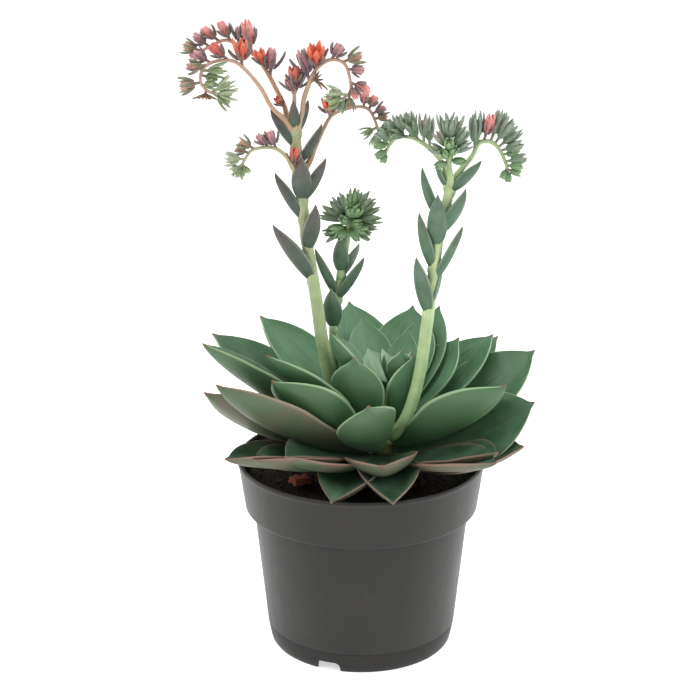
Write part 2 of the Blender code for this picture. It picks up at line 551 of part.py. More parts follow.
def make_heart_leaf(azimuth, rise, length, width, away, grow=0.0):
    out = Vector((math.cos(math.radians(azimuth)), math.sin(math.radians(azimuth)), 0))
    return make_leaf(heart_foot + out * away * 0.5 * MM, azimuth, rise, rise + 8, length, width,
                     thickness=2.4, grow=grow, across=6, along=6)


for row in HEART:
    heart.append((make_heart_leaf, row))
add_node("heart", heart, (0.12, 0.25, 0.16), 0.5)


def make_bract(stem, at, azimuth, rise, tip_rise, length, width, roll, grow=0.0):
    """A narrow leaf on a stalk, with its foot inside the stem."""
    place = smooth([point(x, y, z) for x, y, z, _ in STALKS[stem][0]], 100)[round(at * 100)]
    return make_leaf(place, azimuth, rise, tip_rise, length, width, roll, thickness=2.4, grow=grow, across=6, along=6)


def make_stem(points, grow=0.0):
    return make_tube([point(x, y, z) for x, y, z, _ in points], [r * STALK_SIZE for *_, r in points],
                     grow, count=len(points) + 1)


for name, (points, bracts) in STALKS.items():
    pieces = [(make_stem, (points,))] + [(make_bract, (name, *row)) for row in bracts]
    add_node(name, pieces, (0.3, 0.42, 0.16), 0.55)


def make_flower(head, at, tilt, lean, length, radius, grow=0.0):
    points = smooth([point(x, y, z) for x, y, z, _ in HEADS[head][0]], 100)
    tilt, lean = math.radians(tilt), math.radians(lean)
    away = Vector((math.cos(tilt) * math.cos(lean), -math.sin(lean), math.sin(tilt) * math.cos(lean)))
    return make_bud(points[round(at * 100)], away, length * FLOWER_SIZE, radius * FLOWER_SIZE, grow=grow)


for name, (points, flowers) in HEADS.items():
    pieces = [(make_stem, (points,))] + [(make_flower, (name, *row)) for row in flowers]
    add_node(name, pieces, (0.55, 0.18, 0.12) if "left" in name else (0.25, 0.4, 0.2), 0.55)


def make_rosette_leaf(azimuth, rise, tip_rise, length, width, place, roll, sweep, cup, grow=0.0):
    turn, up = math.radians(azimuth), math.radians(rise)
    out = Vector((math.cos(turn) * math.cos(up), math.sin(turn) * math.cos(up), math.sin(up)))
    start = point(*CROWN_FOOT).lerp(point(*CROWN_TOP), place) + out * LEAF_START * MM
    return make_leaf(start, azimuth, rise, tip_rise, length, width, roll, sweep, cup, grow=grow)


for name, row in LEAVES:
    add_node(name, [(make_rosette_leaf, row)], (0.1, 0.22, 0.15), 0.5)
bpy.data.collections.remove(helpers)
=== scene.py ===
"""The looks of a rosette succulent in a grower's pot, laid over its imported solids. Metres, +Z up."""

import math

import bmesh
import bpy
from mathutils import Matrix, Vector, noise


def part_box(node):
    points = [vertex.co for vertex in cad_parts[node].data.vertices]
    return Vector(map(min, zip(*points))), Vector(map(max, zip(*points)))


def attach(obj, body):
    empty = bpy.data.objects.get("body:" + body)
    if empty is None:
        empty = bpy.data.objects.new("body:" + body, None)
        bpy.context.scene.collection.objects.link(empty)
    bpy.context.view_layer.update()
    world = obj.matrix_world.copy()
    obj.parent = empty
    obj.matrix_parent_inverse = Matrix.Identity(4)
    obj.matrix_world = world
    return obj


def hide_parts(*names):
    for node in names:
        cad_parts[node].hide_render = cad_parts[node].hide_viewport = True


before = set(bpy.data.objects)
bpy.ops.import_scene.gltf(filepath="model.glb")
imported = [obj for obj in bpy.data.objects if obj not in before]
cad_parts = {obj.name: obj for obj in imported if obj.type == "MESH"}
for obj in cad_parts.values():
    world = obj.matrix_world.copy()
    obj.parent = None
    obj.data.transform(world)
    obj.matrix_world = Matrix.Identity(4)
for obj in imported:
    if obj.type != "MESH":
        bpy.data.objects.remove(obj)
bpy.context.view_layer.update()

# Floor: a sheet of matt white paper that the pot stands on, plain and large enough to fill the view.
FLOOR_SIDE = 14.0
PAPER_WHITE, PAPER_GLOW = "f6f6f5", 0.55


def linear(code):
    """An sRGB hex colour as linear red, green, blue and alpha."""
    parts = [int(code[i:i + 2], 16) / 255 for i in (0, 2, 4)]
    return (*(p / 12.92 if p < 0.04045 else ((p + 0.055) / 1.055) ** 2.4 for p in parts), 1)


def add(tree, kind, inputs=None, **settings):
    """Adds one node. An input given as a socket is linked, and any other value is set."""
    node = tree.nodes.new("ShaderNode" + kind)
    for key, value in settings.items():
        setattr(node, key, value)
    for key, value in (inputs or {}).items():
        if isinstance(value, bpy.types.NodeSocket):
            tree.links.new(value, node.inputs[key])
        else:
            node.inputs[key].default_value = value
    return node


def new_material(name, **shader_inputs):
    """A material with its Principled shader, and the tree to add nodes to."""
    material = bpy.data.materials.new(name)
    material.use_nodes = True
    shader = material.node_tree.nodes["Principled BSDF"]
    for key, value in shader_inputs.items():
        shader.inputs[key.replace("_", " ")].default_value = value
    return material, material.node_tree, shader


def new_object(name, bm, material):
    """The bmesh as a smooth-shaded object with this material."""
    mesh = bpy.data.meshes.new(name)
    bm.to_mesh(mesh)
    bm.free()
    mesh.shade_smooth()
    mesh.materials.append(material)
    thing = bpy.data.objects.new(name, mesh)
    bpy.context.scene.collection.objects.link(thing)
    return thing


bm = bmesh.new()
bmesh.ops.create_grid(bm, x_segments=1, y_segments=1, size=FLOOR_SIDE / 2)
paper, tree, shader = new_material("matt_white_paper", Roughness=0.9)
shader.inputs["Base Color"].default_value = linear(PAPER_WHITE)
# The sheet is lit through from below, as on a light table, so it stays white into the distance.
shader.inputs["Emission Color"].default_value = linear("ffffff")
shader.inputs["Emission Strength"].default_value = PAPER_GLOW
floor = new_object("floor", bm, paper)

# Studio: a bright even room, a large soft light on each side in front, one above, and a smaller one
# low behind each side that lights the edges. The camera looks a little down from straight in front.
ROOM_STRENGTH = 0.50
SOFT_LIGHTS = (
    # name, place, aimed at, side in metres, watts
    ("light_left", (-1.15, -0.70, 1.35), (0, 0, 0.16), 0.9, 13),
    ("light_right", (1.20, -0.55, 1.20), (0, 0, 0.16), 0.9, 11),
    ("light_top", (0.05, 0.15, 1.70), (0, 0, 0.18), 0.9, 13),
    ("light_edge_left", (-1.05, 0.42, 0.50), (0, 0, 0.10), 0.6, 3.5),
    ("light_edge_right", (1.05, 0.42, 0.50), (0, 0, 0.10), 0.6, 4.5),
)
CAMERA_PLACE, CAMERA_TILT, LENS, SENSOR = (-0.0064, -1.0, 0.503), 71.74, 97.35, 36
world = bpy.data.worlds.new("bright_room")
bpy.context.scene.world = world
world.use_nodes = True
world.node_tree.nodes["Background"].inputs["Color"].default_value = linear("ffffff")
world.node_tree.nodes["Background"].inputs["Strength"].default_value = ROOM_STRENGTH
for name, place, aim, side, watts in SOFT_LIGHTS:
    light = bpy.data.lights.new(name, "AREA")
    light.shape = "SQUARE"
    light.size = side
    light.energy = watts
    lamp = bpy.data.objects.new(name, light)
    lamp.location = place
    lamp.rotation_euler = (Vector(aim) - Vector(place)).to_track_quat("-Z", "Y").to_euler()
    bpy.context.scene.collection.objects.link(lamp)
camera = bpy.data.objects.new("camera", bpy.data.cameras.new("camera"))
camera.data.sensor_width = SENSOR
camera.data.lens = LENS
camera.location = CAMERA_PLACE
camera.rotation_euler = (math.radians(CAMERA_TILT), 0, 0)
bpy.context.scene.collection.objects.link(camera)
bpy.context.scene.camera = camera
bpy.context.scene.view_settings.view_transform = "Standard"

# Pot: injection-moulded polypropylene, charcoal with a satin skin. A deep collar lets pots stack,
# and three notches in the foot ring and six holes in the floor let water out.
MM = 0.001
pot_low, pot_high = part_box("pot")
RIM = (pot_high[0] - pot_low[0]) / 2
HEIGHT = pot_high[2]
FOOT = 52.5 * MM
COLLAR = HEIGHT - 29 * MM
WALL = 1.4 * MM
FLOOR_UP = 6 * MM
CHARCOAL, CHARCOAL_PALE, CHARCOAL_DUST = "1c1b1a", "242220", "42403a"
pot_profile = (
    (0, FLOOR_UP + WALL), (FOOT - 3.4 * MM, FLOOR_UP + WALL), (RIM - 11 * MM, COLLAR - 2 * MM),
    (RIM - 6.4 * MM, COLLAR + 1 * MM), (RIM - 4.0 * MM, HEIGHT - 6 * MM), (RIM - 2.3 * MM, HEIGHT - 4.6 * MM),
    (RIM - 1.9 * MM, HEIGHT - 0.2 * MM), (RIM - 1.3 * MM, HEIGHT), (RIM - 0.4 * MM, HEIGHT),
    (RIM, HEIGHT - 0.5 * MM), (RIM, HEIGHT - 1.9 * MM), (RIM - 0.5 * MM, HEIGHT - 2.6 * MM),
    (RIM - 4.0 * MM, COLLAR + 1.2 * MM), (RIM - 5.0 * MM, COLLAR + 0.1 * MM),
    (RIM - 8.9 * MM, COLLAR - 0.4 * MM), (RIM - 9.1 * MM, COLLAR - 3.0 * MM),
    (FOOT + 1.45 * MM, 12.1 * MM), (FOOT + 1.2 * MM, 11.8 * MM), (FOOT + 1.38 * MM, 11.4 * MM),
    (FOOT - 0.1 * MM, 3.5 * MM), (FOOT - 0.7 * MM, 1.2 * MM), (FOOT - 1.6 * MM, 0),
    (FOOT - 3.2 * MM, 0), (FOOT - 4.4 * MM, FLOOR_UP),
    (9 * MM, FLOOR_UP), (8 * MM, 0.6 * MM), (7.2 * MM, 0), (0, 0),
)
bm = bmesh.new()
line = [bm.verts.new((r, 0, z)) for r, z in pot_profile]
edges = [bm.edges.new(pair) for pair in zip(line, line[1:])]
bmesh.ops.bevel(bm, geom=line[1:6] + line[11:16] + line[23:25], offset=0.5 * MM, segments=3, profile=0.5,
                affect="VERTICES", material=-1)
bmesh.ops.spin(bm, geom=bm.verts[:] + bm.edges[:], axis=(0, 0, 1), cent=(0, 0, 0), steps=180,
               angle=2 * math.pi, use_merge=True)
bmesh.ops.remove_doubles(bm, verts=bm.verts, dist=1e-6)
bmesh.ops.recalc_face_normals(bm, faces=bm.faces)

pot_plastic, tree, shader = new_material("moulded_polypropylene", IOR=1.49, Specular_IOR_Level=0.30)
# Satin mould skin: a broad soft sheen, drawn marks that run up the wall, and a little dust.
spot = add(tree, "TexCoord").outputs["Object"]
tall = add(tree, "Mapping", {"Vector": spot, "Scale": (1, 1, 0.06)})
drawn = add(tree, "TexNoise", {"Vector": tall.outputs[0], "Scale": 260, "Detail": 4, "Roughness": 0.6})
cloud = add(tree, "TexNoise", {"Vector": spot, "Scale": 34, "Detail": 5, "Roughness": 0.62})
# The grain is drawn coarser than the 0.1 mm etch.
grain = add(tree, "TexNoise", {"Vector": spot, "Scale": 2200, "Detail": 2})
pale = add(tree, "Mix", {0: cloud.outputs["Fac"], 6: linear(CHARCOAL), 7: linear(CHARCOAL_PALE)},
           data_type="RGBA")
dusty = add(tree, "MapRange", {"Value": cloud.outputs["Fac"], "From Min": 0.56, "From Max": 0.78,
                               "To Max": 0.30})
streak = add(tree, "MapRange", {"Value": drawn.outputs["Fac"], "From Min": 0.35, "From Max": 0.75})
dust = add(tree, "Math", {0: dusty.outputs[0], 1: streak.outputs[0]}, operation="MULTIPLY")
skin = add(tree, "Mix", {0: dust.outputs[0], 6: pale.outputs[2], 7: linear(CHARCOAL_DUST)}, data_type="RGBA")
rough = add(tree, "MapRange", {"Value": drawn.outputs["Fac"], "To Min": 0.36, "To Max": 0.50})
bump = add(tree, "Bump", {"Height": grain.outputs["Fac"], "Strength": 0.25, "Distance": 0.00006})
waves = add(tree, "Bump", {"Height": drawn.outputs["Fac"], "Strength": 0.25, "Distance": 0.0002,
                           "Normal": bump.outputs[0]})
tree.links.new(skin.outputs[2], shader.inputs["Base Color"])
tree.links.new(rough.outputs[0], shader.inputs["Roughness"])
tree.links.new(waves.outputs[0], shader.inputs["Normal"])

pot = new_object("pot_shell", bm, pot_plastic)
bm = bmesh.new()
for turn in (9, 129, 249):
    notch = bmesh.ops.create_cube(bm, size=1)["verts"]
    bmesh.ops.scale(bm, verts=notch, vec=(16 * MM, 14 * MM, 11 * MM))
    bmesh.ops.translate(bm, verts=notch, vec=(FOOT - 1 * MM, 0, 0))
    top = [e for e in bm.edges if e.verts[0] in notch and all(v.co.z > 0 for v in e.verts)
           and abs(e.verts[0].co.x - e.verts[1].co.x) > MM]
    more = bmesh.ops.bevel(bm, geom=top, offset=3 * MM, segments=6, profile=0.5, affect="EDGES", material=-1)
    notch = {v for v in notch if v.is_valid} | set(more["verts"])
    bmesh.ops.rotate(bm, verts=list(notch), cent=(0, 0, 0),
                     matrix=Matrix.Rotation(math.radians(turn), 3, "Z"))
for i in range(6):
    bmesh.ops.create_cone(bm, cap_ends=True, segments=32, radius1=4 * MM, radius2=4 * MM, depth=20 * MM,
                          matrix=Matrix.Rotation(i * math.pi / 3 + 0.3, 4, "Z")
                          @ Matrix.Translation((FOOT * 0.64, 0, FLOOR_UP)))
openings = new_object("openings", bm, pot_plastic)
cut = pot.modifiers.new("drains", "BOOLEAN")
cut.object, cut.operation, cut.solver = openings, "DIFFERENCE", "EXACT"
bpy.context.view_layer.update()
pot.data = bpy.data.meshes.new_from_object(pot.evaluated_get(bpy.context.evaluated_depsgraph_get()))
pot.modifiers.clear()
bpy.data.objects.remove(openings)
pot.data.set_sharp_from_angle(angle=math.radians(50))
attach(pot, "root")
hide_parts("pot")

# Potting mix: damp black peat, pressed down a little below the rim and sunk a little along the wall,
# with loose crumbs of it on top.
SOIL_TOP = HEIGHT - 7.5 * MM
CRUMBS, CRUMBS_REACH = 620, 63
PEAT_DARK, PEAT, PEAT_DRY = "1a1410", "2c231c", "5a4636"


def soil_lumps(flat):
    """How far the soil's top rises at a flat place, both in millimetres. It drops towards the wall."""
    lumps = 0.9 * noise.noise(flat * 0.09) + 1.1 * noise.noise(flat * 0.30) + 0.55 * noise.noise(flat * 0.9)
    return lumps - 0.4 - 1.6 * max(0, flat.length - 58) / 6


bm = bmesh.new()
across = [Vector((0.75 * MM * i, 0, SOIL_TOP)) for i in range(86)]
down = [(RIM - 7.1 * MM, COLLAR + 2 * MM), (RIM - 11.6 * MM, COLLAR - 3 * MM),
        (FOOT - 4.2 * MM, FLOOR_UP + 1.8 * MM), (0, FLOOR_UP + 1.8 * MM)]
line = [bm.verts.new(p) for p in across + [Vector((r, 0, z)) for r, z in down]]
edges = [bm.edges.new(pair) for pair in zip(line, line[1:])]
bmesh.ops.spin(bm, geom=line + edges, axis=(0, 0, 1), cent=(0, 0, 0), steps=220, angle=2 * math.pi,
               use_merge=True)
bmesh.ops.remove_doubles(bm, verts=bm.verts, dist=1e-6)
for v in bm.verts:
    if v.co.z > SOIL_TOP - 1e-5:
        v.co.z += soil_lumps(Vector((v.co.x, v.co.y, 0)) * 1000) * MM
bmesh.ops.recalc_face_normals(bm, faces=bm.faces)

peat, tree, shader = new_material("damp_peat", Roughness=0.95, IOR=1.3)
# Rough and almost black where damp, browner in dry patches.
spot = add(tree, "TexCoord").outputs["Object"]
crumbly = add(tree, "TexNoise", {"Vector": spot, "Scale": 420, "Detail": 8, "Roughness": 0.75})
patch = add(tree, "TexNoise", {"Vector": spot, "Scale": 60, "Detail": 4})
strand = add(tree, "TexVoronoi", {"Vector": spot, "Scale": 700}, feature="DISTANCE_TO_EDGE")
dark = add(tree, "MapRange", {"Value": crumbly.outputs["Fac"], "From Min": 0.35, "From Max": 0.7})
brown = add(tree, "Mix", {0: dark.outputs[0], 6: linear(PEAT_DARK), 7: linear(PEAT)}, data_type="RGBA")
dry = add(tree, "MapRange", {"Value": patch.outputs["Fac"], "From Min": 0.58, "From Max": 0.75,
                             "To Max": 0.7})
mixed = add(tree, "Mix", {0: dry.outputs[0], 6: brown.outputs[2], 7: linear(PEAT_DRY)}, data_type="RGBA")
rough = add(tree, "Bump", {"Height": crumbly.outputs["Fac"], "Strength": 0.9, "Distance": 0.0008})
rougher = add(tree, "Bump", {"Height": strand.outputs["Distance"], "Strength": 0.4, "Distance": 0.0003,
                             "Normal": rough.outputs[0]})
tree.links.new(mixed.outputs[2], shader.inputs["Base Color"])
tree.links.new(rougher.outputs[0], shader.inputs["Normal"])
soil = new_object("soil_bed", bm, peat)
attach(soil, "root")
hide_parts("soil")

bm = bmesh.new()
for i in range(CRUMBS):
    turn, out = 2.39996 * i, CRUMBS_REACH * math.sqrt((i + 0.5) / CRUMBS)
    flat = Vector((out * math.cos(turn), out * math.sin(turn), 0))
    size = 0.5 + 1.5 * abs(noise.noise(flat * 3.7)) + (1.0 if i % 17 == 0 else 0)
    grain = bmesh.ops.create_icosphere(bm, subdivisions=1, radius=size * MM)["verts"]
    for v in grain:
        v.co *= 1 + 0.5 * noise.noise(v.co * 900 + flat)
    bmesh.ops.scale(bm, verts=grain, vec=(1.0, 0.55 if i % 3 else 0.9, 0.6))
    bmesh.ops.rotate(bm, verts=grain, matrix=Matrix.Rotation(3.1 * turn, 3, "Z")
                     @ Matrix.Rotation(0.6 * math.sin(i), 3, "X"))
    up = SOIL_TOP + (soil_lumps(flat) + 0.25 * size) * MM
    bmesh.ops.translate(bm, verts=grain, vec=flat * MM + Vector((0, 0, up)))
crumbs = new_object("soil_crumbs", bm, peat)
crumbs.data.shade_flat()
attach(crumbs, "root")

# Clay: a broken crumb of low-fired red clay on the soil at the front, rough and chalky.
chip_low, chip_high = (Vector(c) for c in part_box("clay_chip"))
CLAY, CLAY_DUST = "8a3f2b", "a8664f"
bm = bmesh.new()
bmesh.ops.create_cube(bm, size=1)
bmesh.ops.subdivide_edges(bm, edges=bm.edges[:], cuts=7, use_grid_fill=True)
bmesh.ops.scale(bm, verts=bm.verts, vec=(10.5 * MM, 7.5 * MM, 3.4 * MM))
for v in bm.verts:
    shape = noise.noise_vector(v.co * 260) * 0.9 + noise.noise_vector(v.co * 900) * 0.35
    v.co += shape * MM
    v.co *= 1 - 0.12 * noise.noise(v.co * 150)
bmesh.ops.transform(bm, verts=bm.verts, matrix=Matrix.Translation((chip_low + chip_high) / 2)
                    @ Matrix.Rotation(math.radians(35), 4, "Z") @ Matrix.Rotation(math.radians(6), 4, "Y"))
red_clay, tree, shader = new_material("fired_red_clay", Roughness=0.95, IOR=1.4)
# Dry and matt, with paler dust over a dark red body.
spot = add(tree, "TexCoord").outputs["Object"]
worn = add(tree, "TexNoise", {"Vector": spot, "Scale": 500, "Detail": 6, "Roughness": 0.7})
dusted = add(tree, "Mix", {0: worn.outputs["Fac"], 6: linear(CLAY), 7: linear(CLAY_DUST)}, data_type="RGBA")
pitted = add(tree, "Bump", {"Height": worn.outputs["Fac"], "Strength": 0.7, "Distance": 0.0005})
tree.links.new(dusted.outputs[2], shader.inputs["Base Color"])
tree.links.new(pitted.outputs[0], shader.inputs["Normal"])
chip = new_object("clay_shard", bm, red_clay)
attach(chip, "root")
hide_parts("clay_chip")

# Leaves: fleshy, spoon-shaped and hollowed on top, with a waxy blue-green bloom. Old ones flush
# brown-pink along the margin and below, and each ends in a small hard point.
CROWN_FOOT, CROWN_TOP = Vector((10, -2, -2)), Vector((18, 5, 40))
LEAF_START, LEAF_DEPTH = 7.0, 4.2
# name: azimuth (0 is +X, 90 the back), rise at the foot and at the tip, length, width, place up the
# crown, roll, sweep, hollowness, age from 0 young to 1 old, and wave of the margin in millimetres.
LEAVES = (
    ("leaf_01", (124, 18, 56, 23, 17, 0.96, 0, 0, 0.35), 0.05, 0.0),
    ("leaf_02", (285, 42, 80, 27, 15, 0.95, 0, 0, 0.35), 0.05, 0.0),
    ("leaf_03", (64, 45, 72, 39, 18, 0.70, 10, 0, 0.35), 0.10, 0.0),
    ("leaf_04", (160, 44, 64, 44, 20, 0.66, 0, 0, 0.35), 0.10, 0.0),
    ("leaf_05", (211, 48, 66, 58, 20, 0.60, 0, 0, 0.35), 0.12, 0.0),
    ("leaf_06", (110, 34, 58, 54, 26, 0.62, 0, 0, 0.35), 0.12, 0.0),
    ("leaf_07", (320, 54, 84, 45, 27, 0.42, 0, 0, 0.35), 0.15, 0.3),
    ("leaf_08", (219, 39, 86, 56, 30, 0.34, 0, 55, 0.35), 0.18, 0.3),
    ("leaf_09", (73, 30, 60, 72, 38, 0.44, 0, 0, 0.35), 0.22, 0.4),
    ("leaf_10", (36, 24, 60, 62, 34, 0.40, 0, 0, 0.40), 0.22, 0.4),
    ("leaf_11", (108, 30, 54, 79, 38, 0.40, 0, 0, 0.35), 0.25, 0.4),
    ("leaf_12", (155, 26, 50, 90, 38, 0.36, -8, 0, 0.40), 0.22, 0.5),
    ("leaf_13", (58, 34, 56, 79, 32, 0.32, 0, 0, 0.35), 0.30, 0.4),
    ("leaf_14", (201, 32, 47, 80, 34, 0.34, 12, 0, 0.40), 0.28, 0.4),
    ("leaf_15", (31, 24, 46, 82, 38, 0.26, 5, 0, 0.45), 0.30, 0.5),
    ("leaf_16", (260, 16, 70, 56, 35, 0.20, 30, 0, 0.45), 0.45, 0.8),
    ("leaf_17", (125, 18, 44, 78, 34, 0.26, 0, 0, 0.35), 0.35, 0.4),
    ("leaf_18", (211, 24, 50, 79, 43, 0.20, 26, 0, 0.40), 0.40, 0.6),
    ("leaf_19", (329, 18, 50, 84, 44, 0.20, -22, 0, 0.50), 0.38, 0.6),
    ("leaf_20", (88, 18, 40, 83, 36, 0.22, 0, 0, 0.35), 0.45, 0.4),
    ("leaf_21", (189, 23, 44, 111, 38, 0.22, 10, 0, 0.50), 0.45, 0.6),
    ("leaf_22", (160, 20, 38, 109, 40, 0.18, -8, 0, 0.35), 0.50, 0.6),
    ("leaf_23", (15, 16, 44, 96, 46, 0.16, 22, 0, 0.30), 0.45, 0.6),
    ("leaf_24", (42, 18, 36, 96, 34, 0.16, 0, 0, 0.35), 0.55, 0.5),
    ("leaf_25", (207, 14, 46, 107, 42, 0.12, 18, 0, 0.45), 0.75, 0.8),
    ("leaf_26", (346, 10, 39, 87, 46, 0.10, 42, 0, 0.15), 0.55, 0.6),
    ("leaf_27", (110, 10, 32, 82, 36, 0.22, 0, 0, 0.35), 0.60, 0.5),
    ("leaf_28", (200, 12, 38, 105, 36, 0.15, 40, 0, 0.20), 0.90, 0.8),
    ("leaf_29", (68, 8, 30, 84, 36, 0.20, 0, 0, 0.35), 0.65, 0.5),
    ("leaf_30", (227, 1, 30, 71, 40, 0.10, -8, 0, 0.40), 0.85, 1.0),
    ("leaf_31", (270, -4, 34, 58, 40, 0.15, 5, 0, 0.40), 0.85, 1.2),
    ("leaf_32", (315, 5, 30, 83, 36, 0.06, 5, 0, 0.40), 0.85, 1.2),
    ("leaf_33", (146, 8, 30, 92, 38, 0.18, 0, 0, 0.35), 0.70, 0.6),
    ("leaf_34", (219, 3, 22, 82, 38, 0.08, 5, 0, 0.40), 0.95, 1.0),
    ("leaf_35", (311, 9, 20, 86, 34, 0.06, 5, 0, 0.35), 0.95, 1.0),
    ("leaf_36", (336, 3, 26, 80, 36, 0.02, 20, 0, 0.30), 0.90, 0.8),
    ("leaf_37", (212, 8, 16, 92, 38, 0.02, 5, 0, 0.40), 1.00, 1.0),
    ("leaf_38", (248, 3, -4, 63, 34, 0.05, 0, 0, 0.55), 1.00, 1.2),
    ("leaf_39", (275, 5, -4, 62, 34, 0.05, 0, 0, 0.55), 1.00, 1.2),
    ("leaf_40", (92, 4, 16, 80, 36, 0.08, 0, 0, 0.35), 0.95, 0.8),
)


def above_rim(place):
    """A place in millimetres, with its height above the rim, in metres."""
    return Vector((place[0] * MM, place[1] * MM, HEIGHT + place[2] * MM))


def plant_mesh():
    """A bmesh whose points carry a colour, and a blade value: across, along and age or side."""
    bm = bmesh.new()
    bm.verts.layers.float_color.new("tint")
    bm.verts.layers.float_vector.new("blade")
    return bm


SPHERES = {}  # one of each size, since every leaf, stalk and petal starts as a copy of one


def draw_out(bm, across, along, shape):
    """Adds a sphere drawn out into a shape: shape gives each point's place, tint and blade value
    from its share of the length and its angle round it."""
    if (across, along) not in SPHERES:
        ball = bmesh.new()
        bmesh.ops.create_uvsphere(ball, u_segments=across, v_segments=along, radius=1)
        SPHERES[across, along] = bpy.data.meshes.new("sphere")
        ball.to_mesh(SPHERES[across, along])
        ball.free()
    first = len(bm.verts)
    bm.from_mesh(SPHERES[across, along])
    bm.verts.ensure_lookup_table()
    tint, blade = bm.verts.layers.float_color["tint"], bm.verts.layers.float_vector["blade"]
    for v in bm.verts[first:]:
        s = min(max((1 + v.co.z) / 2, 0.0), 1.0)
        v.co, v[tint], v[blade] = shape(s, math.atan2(v.co.y, v.co.x))


def leaf_outline(s):
    """Half-width along a spoon-shaped leaf, as a share of its greatest half-width."""
    if s < 0.62:
        return 0.24 + 0.76 * math.sin(math.pi / 2 * s / 0.62) ** 1.5
    return max(0.0, 1 - ((s - 0.62) / 0.38) ** 2) ** 0.85


def lance_outline(s):
    """Half-width along a narrow pointed leaf, as a share of its greatest half-width."""
    if s < 0.42:
        return 0.16 + 0.84 * math.sin(math.pi * s ** 0.8) ** 0.9
    return max(0.0, 1 - ((s - 0.42) / 0.58) ** 2.0) ** 0.8


def leaf_shape(foot, azimuth, rise, tip_rise, length, width, roll=0, sweep=0, cup=0.35, depth=LEAF_DEPTH,
               wave=0.0, point=2.2, tints=None, outline=leaf_outline):
    """How a curved, hollowed leaf lies: foot in metres, the rest in millimetres and degrees."""
    steps, centre, line = 60, Vector(foot), [Vector(foot)]
    seed = Vector((azimuth * 0.37, length * 0.11, width * 0.23))

    def heading(s):
        up, turn = math.radians(rise + (tip_rise - rise) * s), math.radians(azimuth + sweep * s)
        forward = Vector((math.cos(up) * math.cos(turn), math.cos(up) * math.sin(turn), math.sin(up)))
        side = Vector((-math.sin(turn), math.cos(turn), 0))
        face, tilt = forward.cross(side), math.radians(roll)
        return (forward, side * math.cos(tilt) + face * math.sin(tilt),
                face * math.cos(tilt) - side * math.sin(tilt))

    for i in range(steps):
        centre = centre + heading((i + 0.5) / steps)[0] * length * MM / steps
        line.append(centre)

    def shape(s, ring):
        forward, side, face = heading(s)
        end = math.sqrt(min(1.0, s / 0.05))
        half = width / 2 * outline(s) * end
        deep = depth * 0.75 * (0.75 + 0.25 * math.sin(math.pi * s)) * end
        deep *= math.sqrt(max(0.0, 1 - (max(s - 0.85, 0) / 0.15) ** 2))
        x, z = math.cos(ring) * half, math.sin(ring)
        swell = deep * math.copysign(abs(z) ** 0.8, z) * (0.3 if z > 0 else 1.0 + 0.22 * abs(z) ** 8)
        ripple = wave * math.cos(ring) ** 4 * math.sin(math.pi * min(1, s)) ** 0.5 * noise.noise(
            seed + Vector((s * length / 16, 3 * math.copysign(1, x), 0)))
        dent = 0.5 * noise.noise(seed + Vector((s * length / 24, x / 14, 0))) * math.sin(math.pi * s) * end
        lift = cup * math.cos(ring) ** 2 * half + swell + ripple + dent
        near_tip = max(0.0, (s - 0.90) / 0.10)
        push = point * near_tip ** 2 * math.exp(-(x / 1.7) ** 2)
        at = s * steps
        low = min(int(at), steps - 1)
        place = line[low].lerp(line[low + 1], at - low) + (side * x + face * lift + forward * push) * MM
        colour = (*(a + (b - a) * s for a, b in zip(*tints)),) if tints else (1, 1, 1, 1)
        return place, colour, (math.cos(ring), s, z)

    return shape


leaf_skin, tree, shader = new_material("waxy_leaf_skin", IOR=1.42)
# Smooth flesh under a thin powdery wax: a soft satin sheen, milky where the wax is whole and deep
# green where it is rubbed away, with a thin pale or pink margin and a red-brown point.
shader.inputs["Subsurface Weight"].default_value = 0.06
shader.inputs["Subsurface Radius"].default_value = (0.0012, 0.0018, 0.0008)
shader.inputs["Sheen Weight"].default_value = 0.12
shader.inputs["Sheen Roughness"].default_value = 0.4
shader.inputs["Sheen Tint"].default_value = linear("cfe3d6")
BUD, YOUNG, OLD_PAINTED_SHADE, DEEP, BLOOM = "a6c3a6", "547e59", "1d3a25", "1a3620", "78997f"
BELOW_YOUNG, BELOW_OLD, BELOW_PINK = "4a6d4a", "4d5b43", "5f584a"
MARGIN_YOUNG, MARGIN_OLD, TIP_RED = "8fae86", "86695c", "7d5547"
spot = add(tree, "TexCoord").outputs["Object"]
blade = add(tree, "SeparateXYZ", {0: add(tree, "Attribute", attribute_name="blade").outputs["Vector"]})
age = add(tree, "Attribute", attribute_name="age").outputs["Fac"]
soft = add(tree, "TexNoise", {"Vector": spot, "Scale": 55, "Detail": 4, "Roughness": 0.55})
fine = add(tree, "TexNoise", {"Vector": spot, "Scale": 600, "Detail": 4, "Roughness": 0.7})
streaks = add(tree, "CombineXYZ", {0: blade.outputs["X"], 1: blade.outputs["Y"], 2: age})
streaks = add(tree, "Mapping", {"Vector": streaks.outputs[0], "Scale": (24, 2.2, 9)})
streaks = add(tree, "TexNoise", {"Vector": streaks.outputs[0], "Scale": 1, "Detail": 3})
edge = add(tree, "Math", {0: blade.outputs["X"]}, operation="ABSOLUTE").outputs[0]
wax = add(tree, "MapRange", {"Value": soft.outputs["Fac"], "From Min": 0.38, "From Max": 0.68})
grown = add(tree, "MapRange", {"Value": age, "From Max": 0.12})
green = add(tree, "Mix", {0: grown.outputs[0], 6: linear(BUD), 7: linear(YOUNG)}, data_type="RGBA")
# The oldest, lowest leaves turn a much darker green on top. This is painted shade from the leaves above them,
# laid on by age.
painted_shade_by_age = add(tree, "MapRange", {"Value": age, "From Min": 0.15, "From Max": 0.90})
green = add(tree, "Mix", {0: painted_shade_by_age.outputs[0], 6: green.outputs[2], 7: linear(OLD_PAINTED_SHADE)}, data_type="RGBA")
streaked = add(tree, "MapRange", {"Value": streaks.outputs["Fac"], "From Min": 0.4, "From Max": 0.75,
                                  "To Max": 0.55})
green = add(tree, "Mix", {0: streaked.outputs[0], 6: green.outputs[2], 7: linear(DEEP)}, data_type="RGBA")
